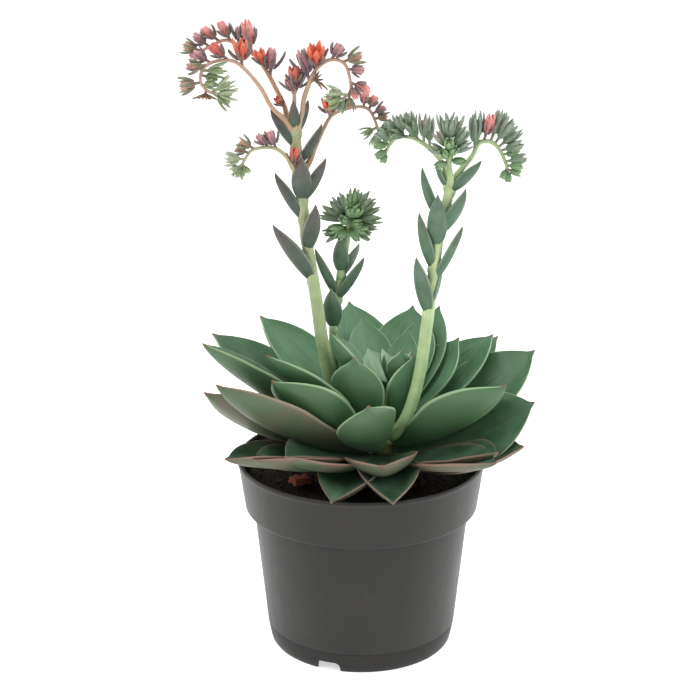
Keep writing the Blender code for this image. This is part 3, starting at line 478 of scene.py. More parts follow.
bloomed = add(tree, "Math", {0: wax.outputs[0], 1: 0.28}, operation="MULTIPLY")
upper = add(tree, "Mix", {0: bloomed.outputs[0], 6: green.outputs[2], 7: linear(BLOOM)}, data_type="RGBA")
pinker = add(tree, "MapRange", {"Value": soft.outputs["Fac"], "From Min": 0.42, "From Max": 0.62})
old_below = add(tree, "Mix", {0: pinker.outputs[0], 6: linear(BELOW_OLD), 7: linear(BELOW_PINK)},
                data_type="RGBA")
older = add(tree, "MapRange", {"Value": age, "From Min": 0.35, "From Max": 0.85})
below = add(tree, "Mix", {0: older.outputs[0], 6: linear(BELOW_YOUNG), 7: old_below.outputs[2]},
            data_type="RGBA")
under = add(tree, "MapRange", {"Value": blade.outputs["Z"], "From Min": 0.02, "From Max": -0.12})
sides = add(tree, "Mix", {0: under.outputs[0], 6: upper.outputs[2], 7: below.outputs[2]}, data_type="RGBA")
margin = add(tree, "MapRange", {"Value": edge, "From Min": 0.955, "From Max": 0.985, "To Max": 0.85},
             interpolation_type="SMOOTHSTEP")
flush = add(tree, "MapRange", {"Value": edge, "From Min": 0.84, "From Max": 1.0, "To Max": 0.3})
flush = add(tree, "Math", {0: flush.outputs[0], 1: older.outputs[0]}, operation="MULTIPLY")
flushed = add(tree, "Mix", {0: flush.outputs[0], 6: sides.outputs[2], 7: linear(MARGIN_OLD)},
              data_type="RGBA")
rim = add(tree, "Mix", {0: older.outputs[0], 6: linear(MARGIN_YOUNG), 7: linear(MARGIN_OLD)},
          data_type="RGBA")
rimmed = add(tree, "Mix", {0: margin.outputs[0], 6: flushed.outputs[2], 7: rim.outputs[2]}, data_type="RGBA")
tip = add(tree, "MapRange", {"Value": blade.outputs["Y"], "From Min": 0.982, "From Max": 0.997,
                             "To Max": 0.8},
          interpolation_type="SMOOTHSTEP")
tipped = add(tree, "Mix", {0: tip.outputs[0], 6: rimmed.outputs[2], 7: linear(TIP_RED)}, data_type="RGBA")
rubbed = add(tree, "MapRange", {"Value": wax.outputs[0], "To Min": 0.40, "To Max": 0.56})
skin_bump = add(tree, "Bump", {"Height": fine.outputs["Fac"], "Strength": 0.25, "Distance": 0.00015})
vein_bump = add(tree, "Bump", {"Height": streaks.outputs["Fac"], "Strength": 0.35, "Distance": 0.0005,
                               "Normal": skin_bump.outputs[0]})
tree.links.new(tipped.outputs[2], shader.inputs["Base Color"])
tree.links.new(rubbed.outputs[0], shader.inputs["Roughness"])
tree.links.new(vein_bump.outputs[0], shader.inputs["Normal"])


def set_age(thing, age):
    """Gives every point of a leaf its age."""
    layer = thing.data.attributes.new("age", "FLOAT", "POINT")
    layer.data.foreach_set("value", [age] * len(thing.data.vertices))


for name, (azimuth, rise, tip_rise, length, width, place, roll, sweep, cup), age, wave in LEAVES:
    turn, up = math.radians(azimuth), math.radians(rise)
    out = Vector((math.cos(turn) * math.cos(up), math.sin(turn) * math.cos(up), math.sin(up)))
    foot = above_rim(CROWN_FOOT.lerp(CROWN_TOP, place) + out * LEAF_START)
    bm = plant_mesh()
    draw_out(bm, 36, 64, leaf_shape(foot, azimuth, rise, tip_rise, length, width, roll, sweep, cup,
                                    wave=wave))
    leaf = new_object("rosette_" + name, bm, leaf_skin)
    set_age(leaf, age)
    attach(leaf, "root")
    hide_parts(name)

# Heart: the youngest leaves, still folded upright round the growing point at the top of the crown.
HEART = tuple((137.5 * i % 360, 62 + 2.5 * i, 19 - 0.9 * i, 8.5 - 0.4 * i, 4.2 - 0.4 * i) for i in range(9))
heart_foot = above_rim(CROWN_TOP) + Vector((0, 0, 2.5 * MM))
bm = plant_mesh()
for azimuth, rise, length, width, away in HEART:
    out = Vector((math.cos(math.radians(azimuth)), math.sin(math.radians(azimuth)), 0))
    draw_out(bm, 20, 28, leaf_shape(heart_foot + out * away * 0.5 * MM, azimuth, rise, rise + 8, length,
                                    width, depth=2.4, point=1.2))
for i in range(14):
    azimuth = 137.5 * (i + 9) % 360
    out = Vector((math.cos(math.radians(azimuth)), math.sin(math.radians(azimuth)), 0))
    draw_out(bm, 14, 18, leaf_shape(heart_foot + out * (1.6 - 0.1 * i) * MM + Vector((0, 0, 3 * MM)), azimuth,
                                    66 + 1.6 * i, 80 + i, 11 - 0.4 * i, 4.6 - 0.15 * i, depth=1.6, point=0.8))
heart = new_object("heart_leaves", bm, leaf_skin)
set_age(heart, 0.0)
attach(heart, "root")
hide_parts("heart")

# Crown: the short fleshy stem under the leaves, pale green, ringed with the scars of lost leaves,
# and the dried stub of an old flower stalk at its front.
def along_line(points, count):
    """Points spaced evenly along a smooth line through the given ones."""
    points = [Vector(p) for p in points]
    ends = [2 * points[0] - points[1]] + points + [2 * points[-1] - points[-2]]
    dense = []
    for a, b, c, d in zip(ends, ends[1:], ends[2:], ends[3:]):
        for i in range(12):
            t = i / 12
            dense.append(0.5 * (2 * b + (c - a) * t + (2 * a - 5 * b + 4 * c - d) * t * t
                                + (3 * b - a - 3 * c + d) * t ** 3))
    dense.append(points[-1])
    steps = [0.0]
    for a, b in zip(dense, dense[1:]):
        steps.append(steps[-1] + (b - a).length)
    line, at = [], 0
    for i in range(count + 1):
        want = steps[-1] * i / count
        while at < len(steps) - 2 and steps[at + 1] < want:
            at += 1
        part = (want - steps[at]) / max(steps[at + 1] - steps[at], 1e-9)
        line.append(dense[at].lerp(dense[at + 1], min(part, 1.0)))
    return line


def stem_shape(points, radii, tints, ridges=0.0, swell=0.0):
    """How a round stem runs: points in metres, radii in millimetres, and a tint at each end."""
    line = along_line(points, 100)
    length = sum((b - a).length for a, b in zip(line, line[1:])) * 1000

    def shape(s, ring):
        # The sphere's rows crowd at its ends, so they are spread evenly along the stem.
        even = math.acos(1 - 2 * s) / math.pi
        at = even * 100
        low = min(int(at), 99)
        forward = (line[low + 1] - line[low]).normalized()
        side = Vector((0, 1, 0)).cross(forward)
        side = (side if side.length > 0.2 else Vector((1, 0, 0)).cross(forward)).normalized()
        place = even * (len(radii) - 1)
        first = min(int(place), len(radii) - 2)
        radius = radii[first] + (radii[first + 1] - radii[first]) * (place - first)
        cap = min(1.0, math.sqrt(max(0.0, min(even, 1 - even) * length / (radius * 0.6))))
        radius *= cap * (1 + swell * noise.noise(Vector((even * length / 9, 0, 3)))
                         + ridges * math.cos(5 * ring + 2 * even))
        out = side * math.cos(ring) + forward.cross(side) * math.sin(ring)
        colour = (*(a + (b - a) * even for a, b in zip(*tints)),)
        place = line[low].lerp(line[low + 1], at - low) + out * radius * MM
        return place, colour, (math.cos(ring), even, math.sin(ring))

    return shape


stem_skin, tree, shader = new_material("fleshy_stem_skin", Roughness=0.45, IOR=1.42)
# Firm juicy skin: a soft satin sheen with fine lengthwise lines and small pale marks.
shader.inputs["Subsurface Weight"].default_value = 0.08
shader.inputs["Subsurface Radius"].default_value = (0.0012, 0.0016, 0.0008)
spot = add(tree, "TexCoord").outputs["Object"]
tint = add(tree, "Attribute", attribute_name="tint").outputs["Color"]
lengthwise = add(tree, "Mapping", {"Vector": spot, "Scale": (1, 1, 0.12)})
lines = add(tree, "TexNoise", {"Vector": lengthwise.outputs[0], "Scale": 900, "Detail": 3})
blotch = add(tree, "TexNoise", {"Vector": spot, "Scale": 130, "Detail": 4})
speck = add(tree, "TexNoise", {"Vector": spot, "Scale": 1100, "Detail": 2})
shade = add(tree, "MapRange", {"Value": blotch.outputs["Fac"], "From Min": 0.3, "From Max": 0.7,
                               "To Min": 0.84, "To Max": 1.12})
tone = add(tree, "HueSaturation", {"Color": tint, "Value": shade.outputs[0]})
pale = add(tree, "MapRange", {"Value": speck.outputs["Fac"], "From Min": 0.62, "From Max": 0.7,
                              "To Max": 0.35})
marked = add(tree, "Mix", {0: pale.outputs[0], 6: tone.outputs[0], 7: linear("c9cdae")}, data_type="RGBA")
ribbed = add(tree, "Bump", {"Height": lines.outputs["Fac"], "Strength": 0.4, "Distance": 0.0003})
tree.links.new(marked.outputs[2], shader.inputs["Base Color"])
tree.links.new(ribbed.outputs[0], shader.inputs["Normal"])

foot, top = above_rim(CROWN_FOOT), above_rim(CROWN_TOP)
root = Vector((foot.x, foot.y, SOIL_TOP - 2 * MM))
bm = plant_mesh()
draw_out(bm, 40, 60, stem_shape((root, foot, foot.lerp(top, 0.5), top), (7, 6.3, 5, 3.2),
                                (linear("7c7a4a"), linear("9db074")), swell=0.16))
stub = above_rim((10, -6, 6))
draw_out(bm, 24, 20, stem_shape((stub, stub.lerp(above_rim((9, -13, 9)), 0.5), above_rim((9, -13, 9))),
                                (3.2, 3.2, 2.6), (linear("8a9a4e"), linear("6d5a34")), swell=0.2))
crown = new_object("crown_stem", bm, stem_skin)
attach(crown, "root")
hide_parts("crown")

# Flower stalks: three thick, juicy stalks with small upright leaves spaced round them. Each leaf is
# joined to its stalk by a narrow neck.
# points: across, back, up from the rim and radius in millimetres; leaves: share of the length, azimuth,
# rise at the foot and at the tip, length, width and roll; then the tints of the stalk and its leaves.
STALKS = {
    "stalk_left": (
        ((-9, 2, 18, 3.6), (-15, 2, 33, 3.7), (-21, 0, 63, 3.6), (-25, 0, 92, 3.5), (-30, 0, 126, 3.3),
         (-33, 0, 154, 3.1), (-35, 0, 176, 2.9), (-36, 0, 190, 2.7)),
        ((0.50, 190, 50, 62, 38, 15, 30), (0.57, 130, 70, 80, 24, 8, 0), (0.60, 300, 60, 84, 28, 11, 0),
         (0.70, 182, 52, 66, 29, 9, 40), (0.755, 268, 60, 86, 27, 11, 0), (0.76, 355, 52, 70, 26, 9, -40),
         (0.86, 120, 66, 80, 17, 6, 0), (0.875, 0, 45, 72, 24, 7, -40), (0.93, 180, 48, 66, 24, 8, 40),
         (0.97, 345, 60, 78, 19, 6, -20), (0.98, 262, 60, 84, 18, 6, 0)),
        ("8fac79", "a6a880"), ("415546", "514f4b")),
    "stalk_right": (
        ((15, -13, 16, 3.2), (20, -16, 21, 3.3), (27, -18, 36, 3.4), (32, -19, 57, 3.4), (35, -18, 80, 3.3),
         (38, -16, 106, 3.2), (41, -14, 130, 3.1), (46, -13, 153, 2.9), (48, -12, 166, 2.6)),
        ((0.50, 205, 70, 84, 33, 12, 20), (0.53, 25, 66, 80, 22, 8, 0), (0.66, 192, 66, 84, 32, 9, 30),
         (0.62, 2, 55, 70, 33, 8, -30), (0.65, 60, 60, 76, 14, 5, 0), (0.735, 268, 66, 84, 31, 11, 0),
         (0.79, 342, 45, 76, 28, 12, -20), (0.83, 182, 55, 84, 31, 7, 40), (0.945, 348, 35, 56, 23, 9, -30),
         (0.95, 172, 50, 76, 14, 5, 0)),
        ("93b07b", "b6c294"), ("4a6650", "54705a")),
    "stalk_middle": (
        ((-12, 9, 32, 2.0), (-16, 13, 60, 2.2), (-14, 14, 88, 2.3), (-10, 14, 112, 2.2), (-8, 14, 126, 2.2)),
        ((0.42, 262, 62, 82, 26, 11, 0), (0.62, 200, 60, 72, 30, 7, 30), (0.60, 352, 50, 66, 28, 9, -30),
         (0.74, 30, 45, 64, 20, 7, 0), (0.76, 270, 66, 84, 23, 9, 0)),
        ("7f9b6b", "94ad80"), ("3f5842", "4a664e")),
}

bract_skin, tree, shader = new_material("waxy_bract_skin", Roughness=0.5, IOR=1.42)
# The same powdery wax as the rosette, greyer and purple where the sun reaches it, pale at the margin.
shader.inputs["Subsurface Weight"].default_value = 0.05
shader.inputs["Subsurface Radius"].default_value = (0.001, 0.0014, 0.0008)
shader.inputs["Sheen Weight"].default_value = 0.1
shader.inputs["Sheen Roughness"].default_value = 0.4
spot = add(tree, "TexCoord").outputs["Object"]
tint = add(tree, "Attribute", attribute_name="tint").outputs["Color"]
blade = add(tree, "SeparateXYZ", {0: add(tree, "Attribute", attribute_name="blade").outputs["Vector"]})
cloud = add(tree, "TexNoise", {"Vector": spot, "Scale": 160, "Detail": 4, "Roughness": 0.6})
fine = add(tree, "TexNoise", {"Vector": spot, "Scale": 900, "Detail": 3})
shade = add(tree, "MapRange", {"Value": cloud.outputs["Fac"], "From Min": 0.3, "From Max": 0.7,
                               "To Min": 0.78, "To Max": 1.22})
tone = add(tree, "HueSaturation", {"Color": tint, "Value": shade.outputs[0]})
plum = add(tree, "MapRange", {"Value": blade.outputs["Y"], "From Min": 0.55, "From Max": 1.0, "To Max": 0.4})
plum = add(tree, "Math", {0: plum.outputs[0], 1: cloud.outputs["Fac"]}, operation="MULTIPLY")
tipped = add(tree, "Mix", {0: plum.outputs[0], 6: tone.outputs[0], 7: linear("7a5560")}, data_type="RGBA")
edge = add(tree, "Math", {0: blade.outputs["X"]}, operation="ABSOLUTE")
pale = add(tree, "MapRange", {"Value": edge.outputs[0], "From Min": 0.9, "From Max": 0.99, "To Max": 0.4})
rimmed = add(tree, "Mix", {0: pale.outputs[0], 6: tipped.outputs[2], 7: linear("a3b09b")}, data_type="RGBA")
bump = add(tree, "Bump", {"Height": fine.outputs["Fac"], "Strength": 0.3, "Distance": 0.0002})
tree.links.new(rimmed.outputs[2], shader.inputs["Base Color"])
tree.links.new(bump.outputs[0], shader.inputs["Normal"])

stalk_lines = {}
for name, (points, bracts, stem_tints, bract_tints) in STALKS.items():
    places = [above_rim(p[:3]) for p in points]
    line = stalk_lines[name] = along_line(places, 100)
    bm = plant_mesh()
    draw_out(bm, 24, 90, stem_shape(places, [p[3] for p in points], [linear(t) for t in stem_tints],
                                    swell=0.05))
    for at, azimuth, *_ in bracts:
        # Each leaf sits on a low shoulder of the stalk.
        low = line[round(at * 100)]
        out = Vector((math.cos(math.radians(azimuth)), math.sin(math.radians(azimuth)), 0)) * 2.0 * MM
        shoulder = (low - Vector((0, 0, 4 * MM)), low + out * 0.6, low + out + Vector((0, 0, 3.5 * MM)))
        draw_out(bm, 12, 12, stem_shape(shoulder, (2.2, 2.6, 1.6), [linear(t) for t in stem_tints]))
    stalk = new_object(name + "_stem", bm, stem_skin)
    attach(stalk, "root")
    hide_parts(name)
    bm = plant_mesh()
    for at, azimuth, rise, tip_rise, length, width, roll in bracts:
        draw_out(bm, 20, 34, leaf_shape(line[round(at * 100)], azimuth, rise, tip_rise, length, width, roll,
                                        depth=2.6, wave=0.3, point=1.4,
                                        tints=[linear(t) for t in bract_tints], outline=lance_outline))
    leaves = new_object(name + "_leaves", bm, bract_skin)
    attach(leaves, "root")

# Flower heads: curled branches with flowers and buds on short stems. A flower has five thick petals
# in a narrow urn, cupped by five fleshy sepals that spread when it opens; young ones are all sepal.
# kind: petals as colour at foot and tip, share of the flower's length, width and opening at foot and
# tip in degrees, then sepals the same way.
KINDS = {
    "orange": (("b04436", "dc6a48", 0.98, 0.50, 20, 10), ("4b3d3d", "76655f", 0.80, 0.27, 58, 20)),
    "red": (("9c4038", "c4655c", 0.92, 0.60, 22, -6), ("4d4040", "77665f", 0.66, 0.28, 52, 16)),
    "coral": (("b0605a", "d38f88", 0.92, 0.58, 20, -14), ("554848", "7d6c68", 0.70, 0.28, 48, 12)),
    "pink": (("95606a", "bd8688", 0.88, 0.56, 18, -14), ("51444a", "776668", 0.85, 0.26, 52, 12)),
    "plum": (("85555a", "ad7a7c", 0.76, 0.50, 16, -14), ("54484c", "786c6d", 0.95, 0.28, 44, 6)),
    "olive": (("96705e", "b58a78", 0.78, 0.50, 16, -14), ("5e6049", "80806a", 0.95, 0.30, 44, 6)),
    "green": (("7b8c5c", "9cab78", 0.72, 0.50, 14, -16), ("61744d", "889a6e", 1.00, 0.34, 38, 2)),
    "pale": (("8c9c7a", "b0b294", 0.72, 0.50, 14, -16), ("7d8f6e", "a6b094", 1.00, 0.34, 38, 4)),
    "grey": (("70805f", "948f80", 0.72, 0.50, 12, -14), ("5e745c", "869384", 1.00, 0.50, 24, -10)),
    "blush": (("8f7466", "b09088", 0.74, 0.50, 14, -14), ("64785f", "8f9184", 0.98, 0.48, 26, -8)),
    "young": (("66885a", "8ba67a", 0.76, 0.60, 14, -22), ("587c52", "7f9a70", 1.00, 0.54, 24, -14)),
    "dry": (("5a3d2c", "7a5844", 0.60, 0.30, 40, 60), ("6b4a36", "8a6a50", 1.00, 0.24, 60, 80)),
    "leafy": (("566b50", "6f8165", 0.60, 0.40, 10, -10), ("50664e", "75866a", 1.00, 0.60, 22, 6)),
}
# tints of the branch at its foot and tip, then its points: across, back, up from the rim and radius in
# millimetres; flowers: share of the branch, tilt from level, lean to the front, length, radius and kind.
HEADS = {
    "head_left_1": (("b4705f", "c39c8f"),
        ((-40, -2, 192, 1.6), (-48, -3, 200, 1.6), (-54, -4, 211, 1.5), (-63, -6, 222, 1.5),
         (-70, -8, 226, 1.3), (-79, -9, 225, 1.2), (-84, -10, 221, 1.1), (-85, -11, 215, 1.1),
         (-82, -12, 211, 1.0), (-78, -12, 209, 1.0)),
        ((0.49, 95, 10, 16, 3.6, "orange"), (0.60, 138, 8, 14, 3.0, "red"), (0.72, 150, -10, 12, 2.6, "pink"),
         (0.75, 183, 22, 11, 2.4, "olive"), (0.79, 170, 0, 10, 2.6, "pink"), (0.88, 190, 8, 13, 3.4, "olive"),
         (0.80, 3, 5, 14, 2.6, "green"), (0.83, -16, -12, 12, 2.6, "green"), (0.90, 10, 15, 8, 2.4, "green"),
         (0.98, 27, 0, 15, 2.4, "pale"), (1.00, 2, 12, 13, 2.4, "pale"), (1.00, -35, 0, 12, 2.8, "green"),
         (0.94, -95, 5, 9, 2.2, "dry"))),
    "head_left_2": (("b4705f", "c08678"),
        ((-40, 5, 193, 1.7), (-42, 6, 200, 1.7), (-47, 7, 210, 1.6), (-51, 9, 217, 1.6), (-57, 11, 225, 1.4),
         (-64, 12, 229, 1.3), (-72, 14, 233, 1.2), (-79, 14, 231, 1.1), (-86, 15, 227, 1.0)),
        ((0.08, 128, 25, 9, 2.4, "red"), (0.33, 86, -12, 18, 3.4, "pink"), (0.42, 108, 12, 11, 3.4, "orange"),
         (0.56, 102, 0, 19, 3.6, "coral"), (0.68, 92, -20, 13, 2.6, "plum"), (0.75, 118, 6, 13, 3.0, "coral"),
         (0.84, 140, 0, 13, 2.8, "coral"), (0.93, 142, 0, 12, 2.8, "pink"), (1.00, 162, 0, 12, 2.8, "olive"),
         (1.00, 205, 10, 8, 2.4, "pink"))),
    "head_left_3": (("b58b7b", "b58b7b"),
        ((-32, -2, 195, 1.8), (-31, -3, 204, 1.8), (-28, -4, 213, 1.7), (-24, -5, 221, 1.5),
         (-17, -7, 226, 1.3), (-10, -9, 225, 1.2), (-7, -10, 219, 1.1), (-6, -11, 211, 1.0),
         (-9, -12, 207, 1.0)),
        ((0.30, 105, -6, 20, 3.6, "pink"), (0.30, 28, 10, 12, 2.2, "dry"), (0.42, 90, 24, 16, 4.6, "orange"),
         (0.58, 56, 8, 11, 3.4, "pink"), (0.68, 20, 0, 13, 3.2, "olive"), (0.75, -2, 16, 10, 2.6, "pink"),
         (0.86, -25, 6, 12, 3.2, "coral"), (0.88, -68, 20, 9, 2.6, "coral"), (0.95, -90, 0, 11, 2.2, "olive"),
         (1.00, -112, 10, 9, 2.4, "grey"), (0.97, 172, 0, 13, 3.2, "pale"),
         (1.00, 196, 20, 12, 2.6, "green"))),
    "head_left_4": (("b4705f", "a38672"),
        ((-28, 2, 170, 1.5), (-25, 3, 177, 1.5), (-21, 4, 186, 1.4), (-17, 6, 193, 1.3), (-12, 7, 196, 1.2),
         (-3, 9, 198, 1.1), (3, 9, 197, 1.1), (6, 9, 193, 1.0), (9, 10, 185, 1.0)),
        ((0.42, 98, 18, 12, 3.4, "orange"), (0.74, 82, 10, 10, 2.8, "coral"), (0.79, 62, -8, 9, 2.8, "coral"),
         (0.84, 30, 6, 10, 2.4, "plum"), (0.89, 13, -10, 9, 2.4, "olive"), (1.00, -32, 6, 10, 3.4, "green"),
         (0.97, 205, 12, 11, 2.0, "green"), (1.00, -102, 0, 11, 2.6, "pale"),
         (0.99, 18, -16, 9, 2.2, "green"))),
    "head_left_5": (("a8806a", "9aa07a"),
        ((-37, -6, 168, 1.5), (-41, -8, 175, 1.5), (-46, -9, 179, 1.3), (-52, -11, 180, 1.2),
         (-58, -12, 179, 1.1), (-61, -13, 176, 1.0), (-64, -14, 171, 1.0)),
        ((0.00, 84, 10, 13, 3.0, "red"), (0.38, 112, 8, 12, 2.9, "pink"), (0.50, 131, 0, 10, 2.7, "pink"),
         (0.70, 148, 8, 11, 2.6, "olive"),
         (0.80, 162, -10, 9, 2.3, "olive"), (0.90, 177, 6, 12, 2.8, "pale"), (1.00, 206, 0, 8, 2.2, "pale"),
         (1.00, 252, 10, 8, 2.2, "green"), (0.97, -68, 0, 7, 2.0, "green"))),
    "head_left_6": (("b08a72", "b08a72"),
        ((-36, -3, 194, 1.6), (-36, -3, 202, 1.5), (-36, -3, 210, 1.3)),
        ((1.00, 91, 6, 13, 3.4, "red"), (0.80, 66, -12, 16, 2.6, "plum"), (0.80, 116, 14, 12, 2.6, "plum"))),
    "head_right_1": (("a3b586", "8fa878"),
        ((45, -9, 165, 1.7), (43, -9, 171, 1.7), (38, -8, 177, 1.6), (33, -7, 181, 1.5), (27, -5, 184, 1.4),
         (19, -4, 184, 1.3), (15, -3, 180, 1.2), (13, -2, 176, 1.1)),
        ((0.36, 92, -14, 17, 2.6, "grey"), (0.45, 90, 6, 17, 2.9, "blush"), (0.52, 116, 22, 15, 3.2, "leafy"),
         (0.58, 103, 0, 15, 3.2, "grey"), (0.63, 84, -16, 13, 2.4, "blush"), (0.70, 108, 4, 13, 3.0, "grey"),
         (0.77, 124, -6, 11, 2.8, "grey"), (0.66, 163, 24, 11, 2.6, "leafy"), (0.84, 150, 6, 11, 3.2, "grey"),
         (0.90, 186, 0, 9, 2.8, "young"), (0.97, 214, 10, 8, 2.6, "young"), (1.00, 254, 0, 7, 2.6, "young"))),
    "head_right_2": (("a3b586", "8fa878"),
        ((51, -13, 166, 1.8), (55, -12, 171, 1.8), (59, -11, 176, 1.7), (62, -10, 182, 1.6),
         (67, -9, 183, 1.4), (72, -8, 180, 1.3), (76, -7, 173, 1.2), (78, -6, 167, 1.1)),
        ((0.33, 90, 6, 20, 3.0, "grey"), (0.42, 88, -12, 18, 2.6, "grey"), (0.50, 76, 8, 17, 3.0, "coral"),
         (0.58, 69, -6, 18, 3.0, "grey"), (0.64, 58, 10, 17, 3.0, "grey"), (0.70, 40, -4, 16, 3.0, "grey"),
         (0.75, 20, 12, 13, 2.8, "grey"), (0.80, 5, -10, 10, 2.6, "young"), (0.90, 14, 4, 12, 3.0, "grey"),
         (0.95, 2, 16, 9, 2.6, "young"), (1.00, -20, -6, 8, 2.6, "young"), (1.00, -84, 4, 7, 2.6, "young"),
         (0.98, -116, 10, 7, 2.4, "young"))),
    "head_right_3": (("a3b586", "8fa878"),
        ((47, -17, 165, 1.8), (46, -18, 172, 1.8), (46, -20, 180, 3.4), (46, -21, 187, 3.0)),
        ((0.80, 104, 0, 18, 2.8, "grey"), (0.85, 90, 12, 16, 3.0, "grey"), (0.85, 72, -6, 17, 2.8, "blush"),
         (0.70, 52, 10, 16, 2.8, "grey"), (0.60, 30, 14, 14, 2.6, "grey"), (0.70, 124, 10, 14, 2.6, "blush"),
         (0.60, 156, 14, 12, 2.6, "grey"), (0.70, 96, 50, 12, 3.2, "young"), (0.60, 60, 56, 11, 3.0, "young"),
         (0.50, 130, 50, 11, 3.0, "young"), (0.45, 0, 30, 10, 2.6, "young"),
         (0.40, 190, 30, 9, 2.6, "young"))),
    "head_middle": (("8fa878", "8fa878"),
        ((-8, 14, 125, 1.9), (-7, 14, 132, 1.8), (-5, 13, 136, 2.0)),
        ((0.77, 140, 6, 17, 3.2, "leafy"), (0.66, 160, -8, 17, 3.0, "leafy"), (0.83, 122, 0, 16, 3.2, "grey"),
         (0.89, 105, 12, 15, 3.2, "young"), (0.94, 86, 4, 17, 3.2, "young"), (0.94, 66, -6, 16, 3.2, "grey"),
         (0.89, 50, 8, 18, 3.2, "leafy"), (0.89, 30, -4, 17, 3.2, "grey"), (0.77, 12, 6, 18, 3.2, "leafy"),
         (0.66, -2, 0, 16, 2.6, "leafy"), (0.83, 92, 40, 12, 3.4, "young"), (0.83, 60, 36, 13, 3.4, "young"),
         (0.35, 198, 8, 14, 3.0, "leafy"), (0.35, -16, 8, 14, 3.0, "leafy"),
         (0.45, 182, 30, 13, 3.0, "young"), (0.45, -6, 32, 13, 3.0, "young"),
         (0.40, 216, 44, 11, 3.0, "young"), (0.40, -38, 44, 11, 3.0, "young"),
         (0.60, 130, 52, 11, 3.0, "young"), (0.60, 20, 50, 11, 3.0, "young"))),
}


LOBE_DEPTH = 0.26  # a petal's or sepal's thickness, as a share of the flower's width


def lobe_shape(foot, axis, out, length, width, depth, lean, tip_lean, tints):
    """How a petal or sepal curves away from the flower's axis: a narrow pointed leaf."""
    side = axis.cross(out).normalized()
    steps, place, line = 24, Vector(foot), [Vector(foot)]

    def heading(s):
        turn = math.radians(lean + (tip_lean - lean) * s)
        return axis * math.cos(turn) + out * math.sin(turn)

    for i in range(steps):
        place = place + heading((i + 0.5) / steps) * length * MM / steps
        line.append(place)

    def shape(s, ring):
        forward = heading(s)
        face = forward.cross(side)
        half = width / 2 * min(1.0, s / 0.12) ** 0.5 * max(0.0, 1 - max(0, (s - 0.4) / 0.6) ** 1.8) ** 0.8
        x = half * math.cos(ring)
        swell = depth / 2 * math.sin(ring) * min(1.0, s / 0.08) ** 0.5 * max(0.0, 1 - s ** 6) ** 0.5
        # face points to the flower's middle, where the lobe is hollow.
        lift = 0.3 * half * math.cos(ring) ** 2 + swell
        low = min(int(s * steps), steps - 1)
        colour = (*(a + (b - a) * s ** 1.3 for a, b in zip(*tints)),)
        return line[low].lerp(line[low + 1], s * steps - low) + (side * x + face * lift) * MM, colour, (
            math.cos(ring), s, math.sin(ring))

    return shape


petal_skin, tree, shader = new_material("waxy_petal_skin", Roughness=0.42, IOR=1.42)
# Thick waxy petals and sepals: a soft gleam, mottled colour, and a faint bloom in fine flecks.
shader.inputs["Subsurface Weight"].default_value = 0.08
shader.inputs["Subsurface Radius"].default_value = (0.0014, 0.0008, 0.0006)
spot = add(tree, "TexCoord").outputs["Object"]
tint = add(tree, "Attribute", attribute_name="tint").outputs["Color"]
mottle = add(tree, "TexNoise", {"Vector": spot, "Scale": 420, "Detail": 4, "Roughness": 0.65})
fine = add(tree, "TexNoise", {"Vector": spot, "Scale": 1500, "Detail": 2})
shade = add(tree, "MapRange", {"Value": mottle.outputs["Fac"], "From Min": 0.3, "From Max": 0.7,
                               "To Min": 0.74, "To Max": 1.28})
tone = add(tree, "HueSaturation", {"Color": tint, "Value": shade.outputs[0]})
bloomy = add(tree, "MapRange", {"Value": fine.outputs["Fac"], "From Min": 0.5, "From Max": 0.75,
                                "To Max": 0.25})
waxed = add(tree, "Mix", {0: bloomy.outputs[0], 6: tone.outputs[0], 7: linear("c3bfb6")}, data_type="RGBA")
bump = add(tree, "Bump", {"Height": mottle.outputs["Fac"], "Strength": 0.3, "Distance": 0.0002})
tree.links.new(waxed.outputs[2], shader.inputs["Base Color"])
tree.links.new(bump.outputs[0], shader.inputs["Normal"])


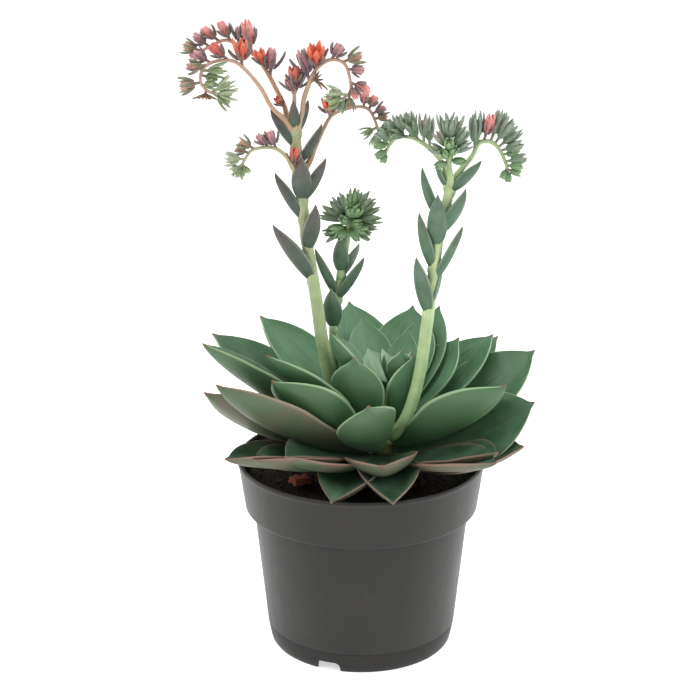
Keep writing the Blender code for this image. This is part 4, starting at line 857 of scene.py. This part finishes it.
def add_flower(bm, foot, axis, length, radius, kind, turn):
    """One flower or bud on its short stem, with five petals inside five sepals."""
    petals, sepals = KINDS[kind]
    across = axis.orthogonal().normalized()
    neck = foot + axis * 0.26 * length * MM
    stem_tint = [a * 0.5 + b * 0.5 for a, b in zip(linear(sepals[0]), linear("b08d7e"))]
    draw_out(bm, 8, 10, stem_shape((foot - axis * 0.7 * MM, foot.lerp(neck, 0.5), neck + axis * 1.2 * MM),
                                   (0.85, 0.75, 0.36 * radius), (stem_tint, linear(sepals[0]))))
    body = length * 0.74
    for (foot_tint, tip_tint, share, width, lean, tip_lean), offset in ((petals, 0.5), (sepals, 0.0)):
        for i in range(5):
            out = Matrix.Rotation(2 * math.pi * (i + offset) / 5 + turn, 3, axis) @ across
            uneven = 1 + 0.16 * noise.noise(foot * 900 + out * 3)
            draw_out(bm, 8, 10, lobe_shape(neck + out * 0.30 * radius * MM, axis, out, body * share * uneven,
                                           2 * radius * width, 2 * radius * LOBE_DEPTH, lean, tip_lean,
                                           (linear(foot_tint), linear(tip_tint))))


for name, (stem_tints, points, flowers) in HEADS.items():
    places = [above_rim(p[:3]) for p in points]
    line = along_line(places, 100)
    # The branch grows out of its stalk a little below the place where it stands clear.
    stalk = "stalk_" + name.split("_")[1]
    near = min(range(101), key=lambda i: (stalk_lines[stalk][i] - places[0]).length)
    root = stalk_lines[stalk][max(near - 4, 0)]
    base = [(a + b) / 2 for a, b in zip(linear(STALKS[stalk][2][1]), linear(stem_tints[0]))]
    tints = (base, linear(stem_tints[1]))
    bm = plant_mesh()
    radii = [2.1, 1.8] + [0.78 * p[3] for p in points[1:]]
    draw_out(bm, 14, 66, stem_shape([root] + places, radii, tints, swell=0.08))
    branch = new_object(name + "_branch", bm, stem_skin)
    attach(branch, "root")
    bm = plant_mesh()
    for i, (at, tilt, lean, length, radius, kind) in enumerate(flowers):
        tilt, lean = math.radians(tilt), math.radians(lean)
        axis = Vector((math.cos(tilt) * math.cos(lean), -math.sin(lean), math.sin(tilt) * math.cos(lean)))
        add_flower(bm, line[round(at * 100)], axis, length, radius, kind, 1.7 * i)
    head = new_object(name + "_flowers", bm, petal_skin)
    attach(head, "root")
    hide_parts(name)

for ball in SPHERES.values():
    bpy.data.meshes.remove(ball)
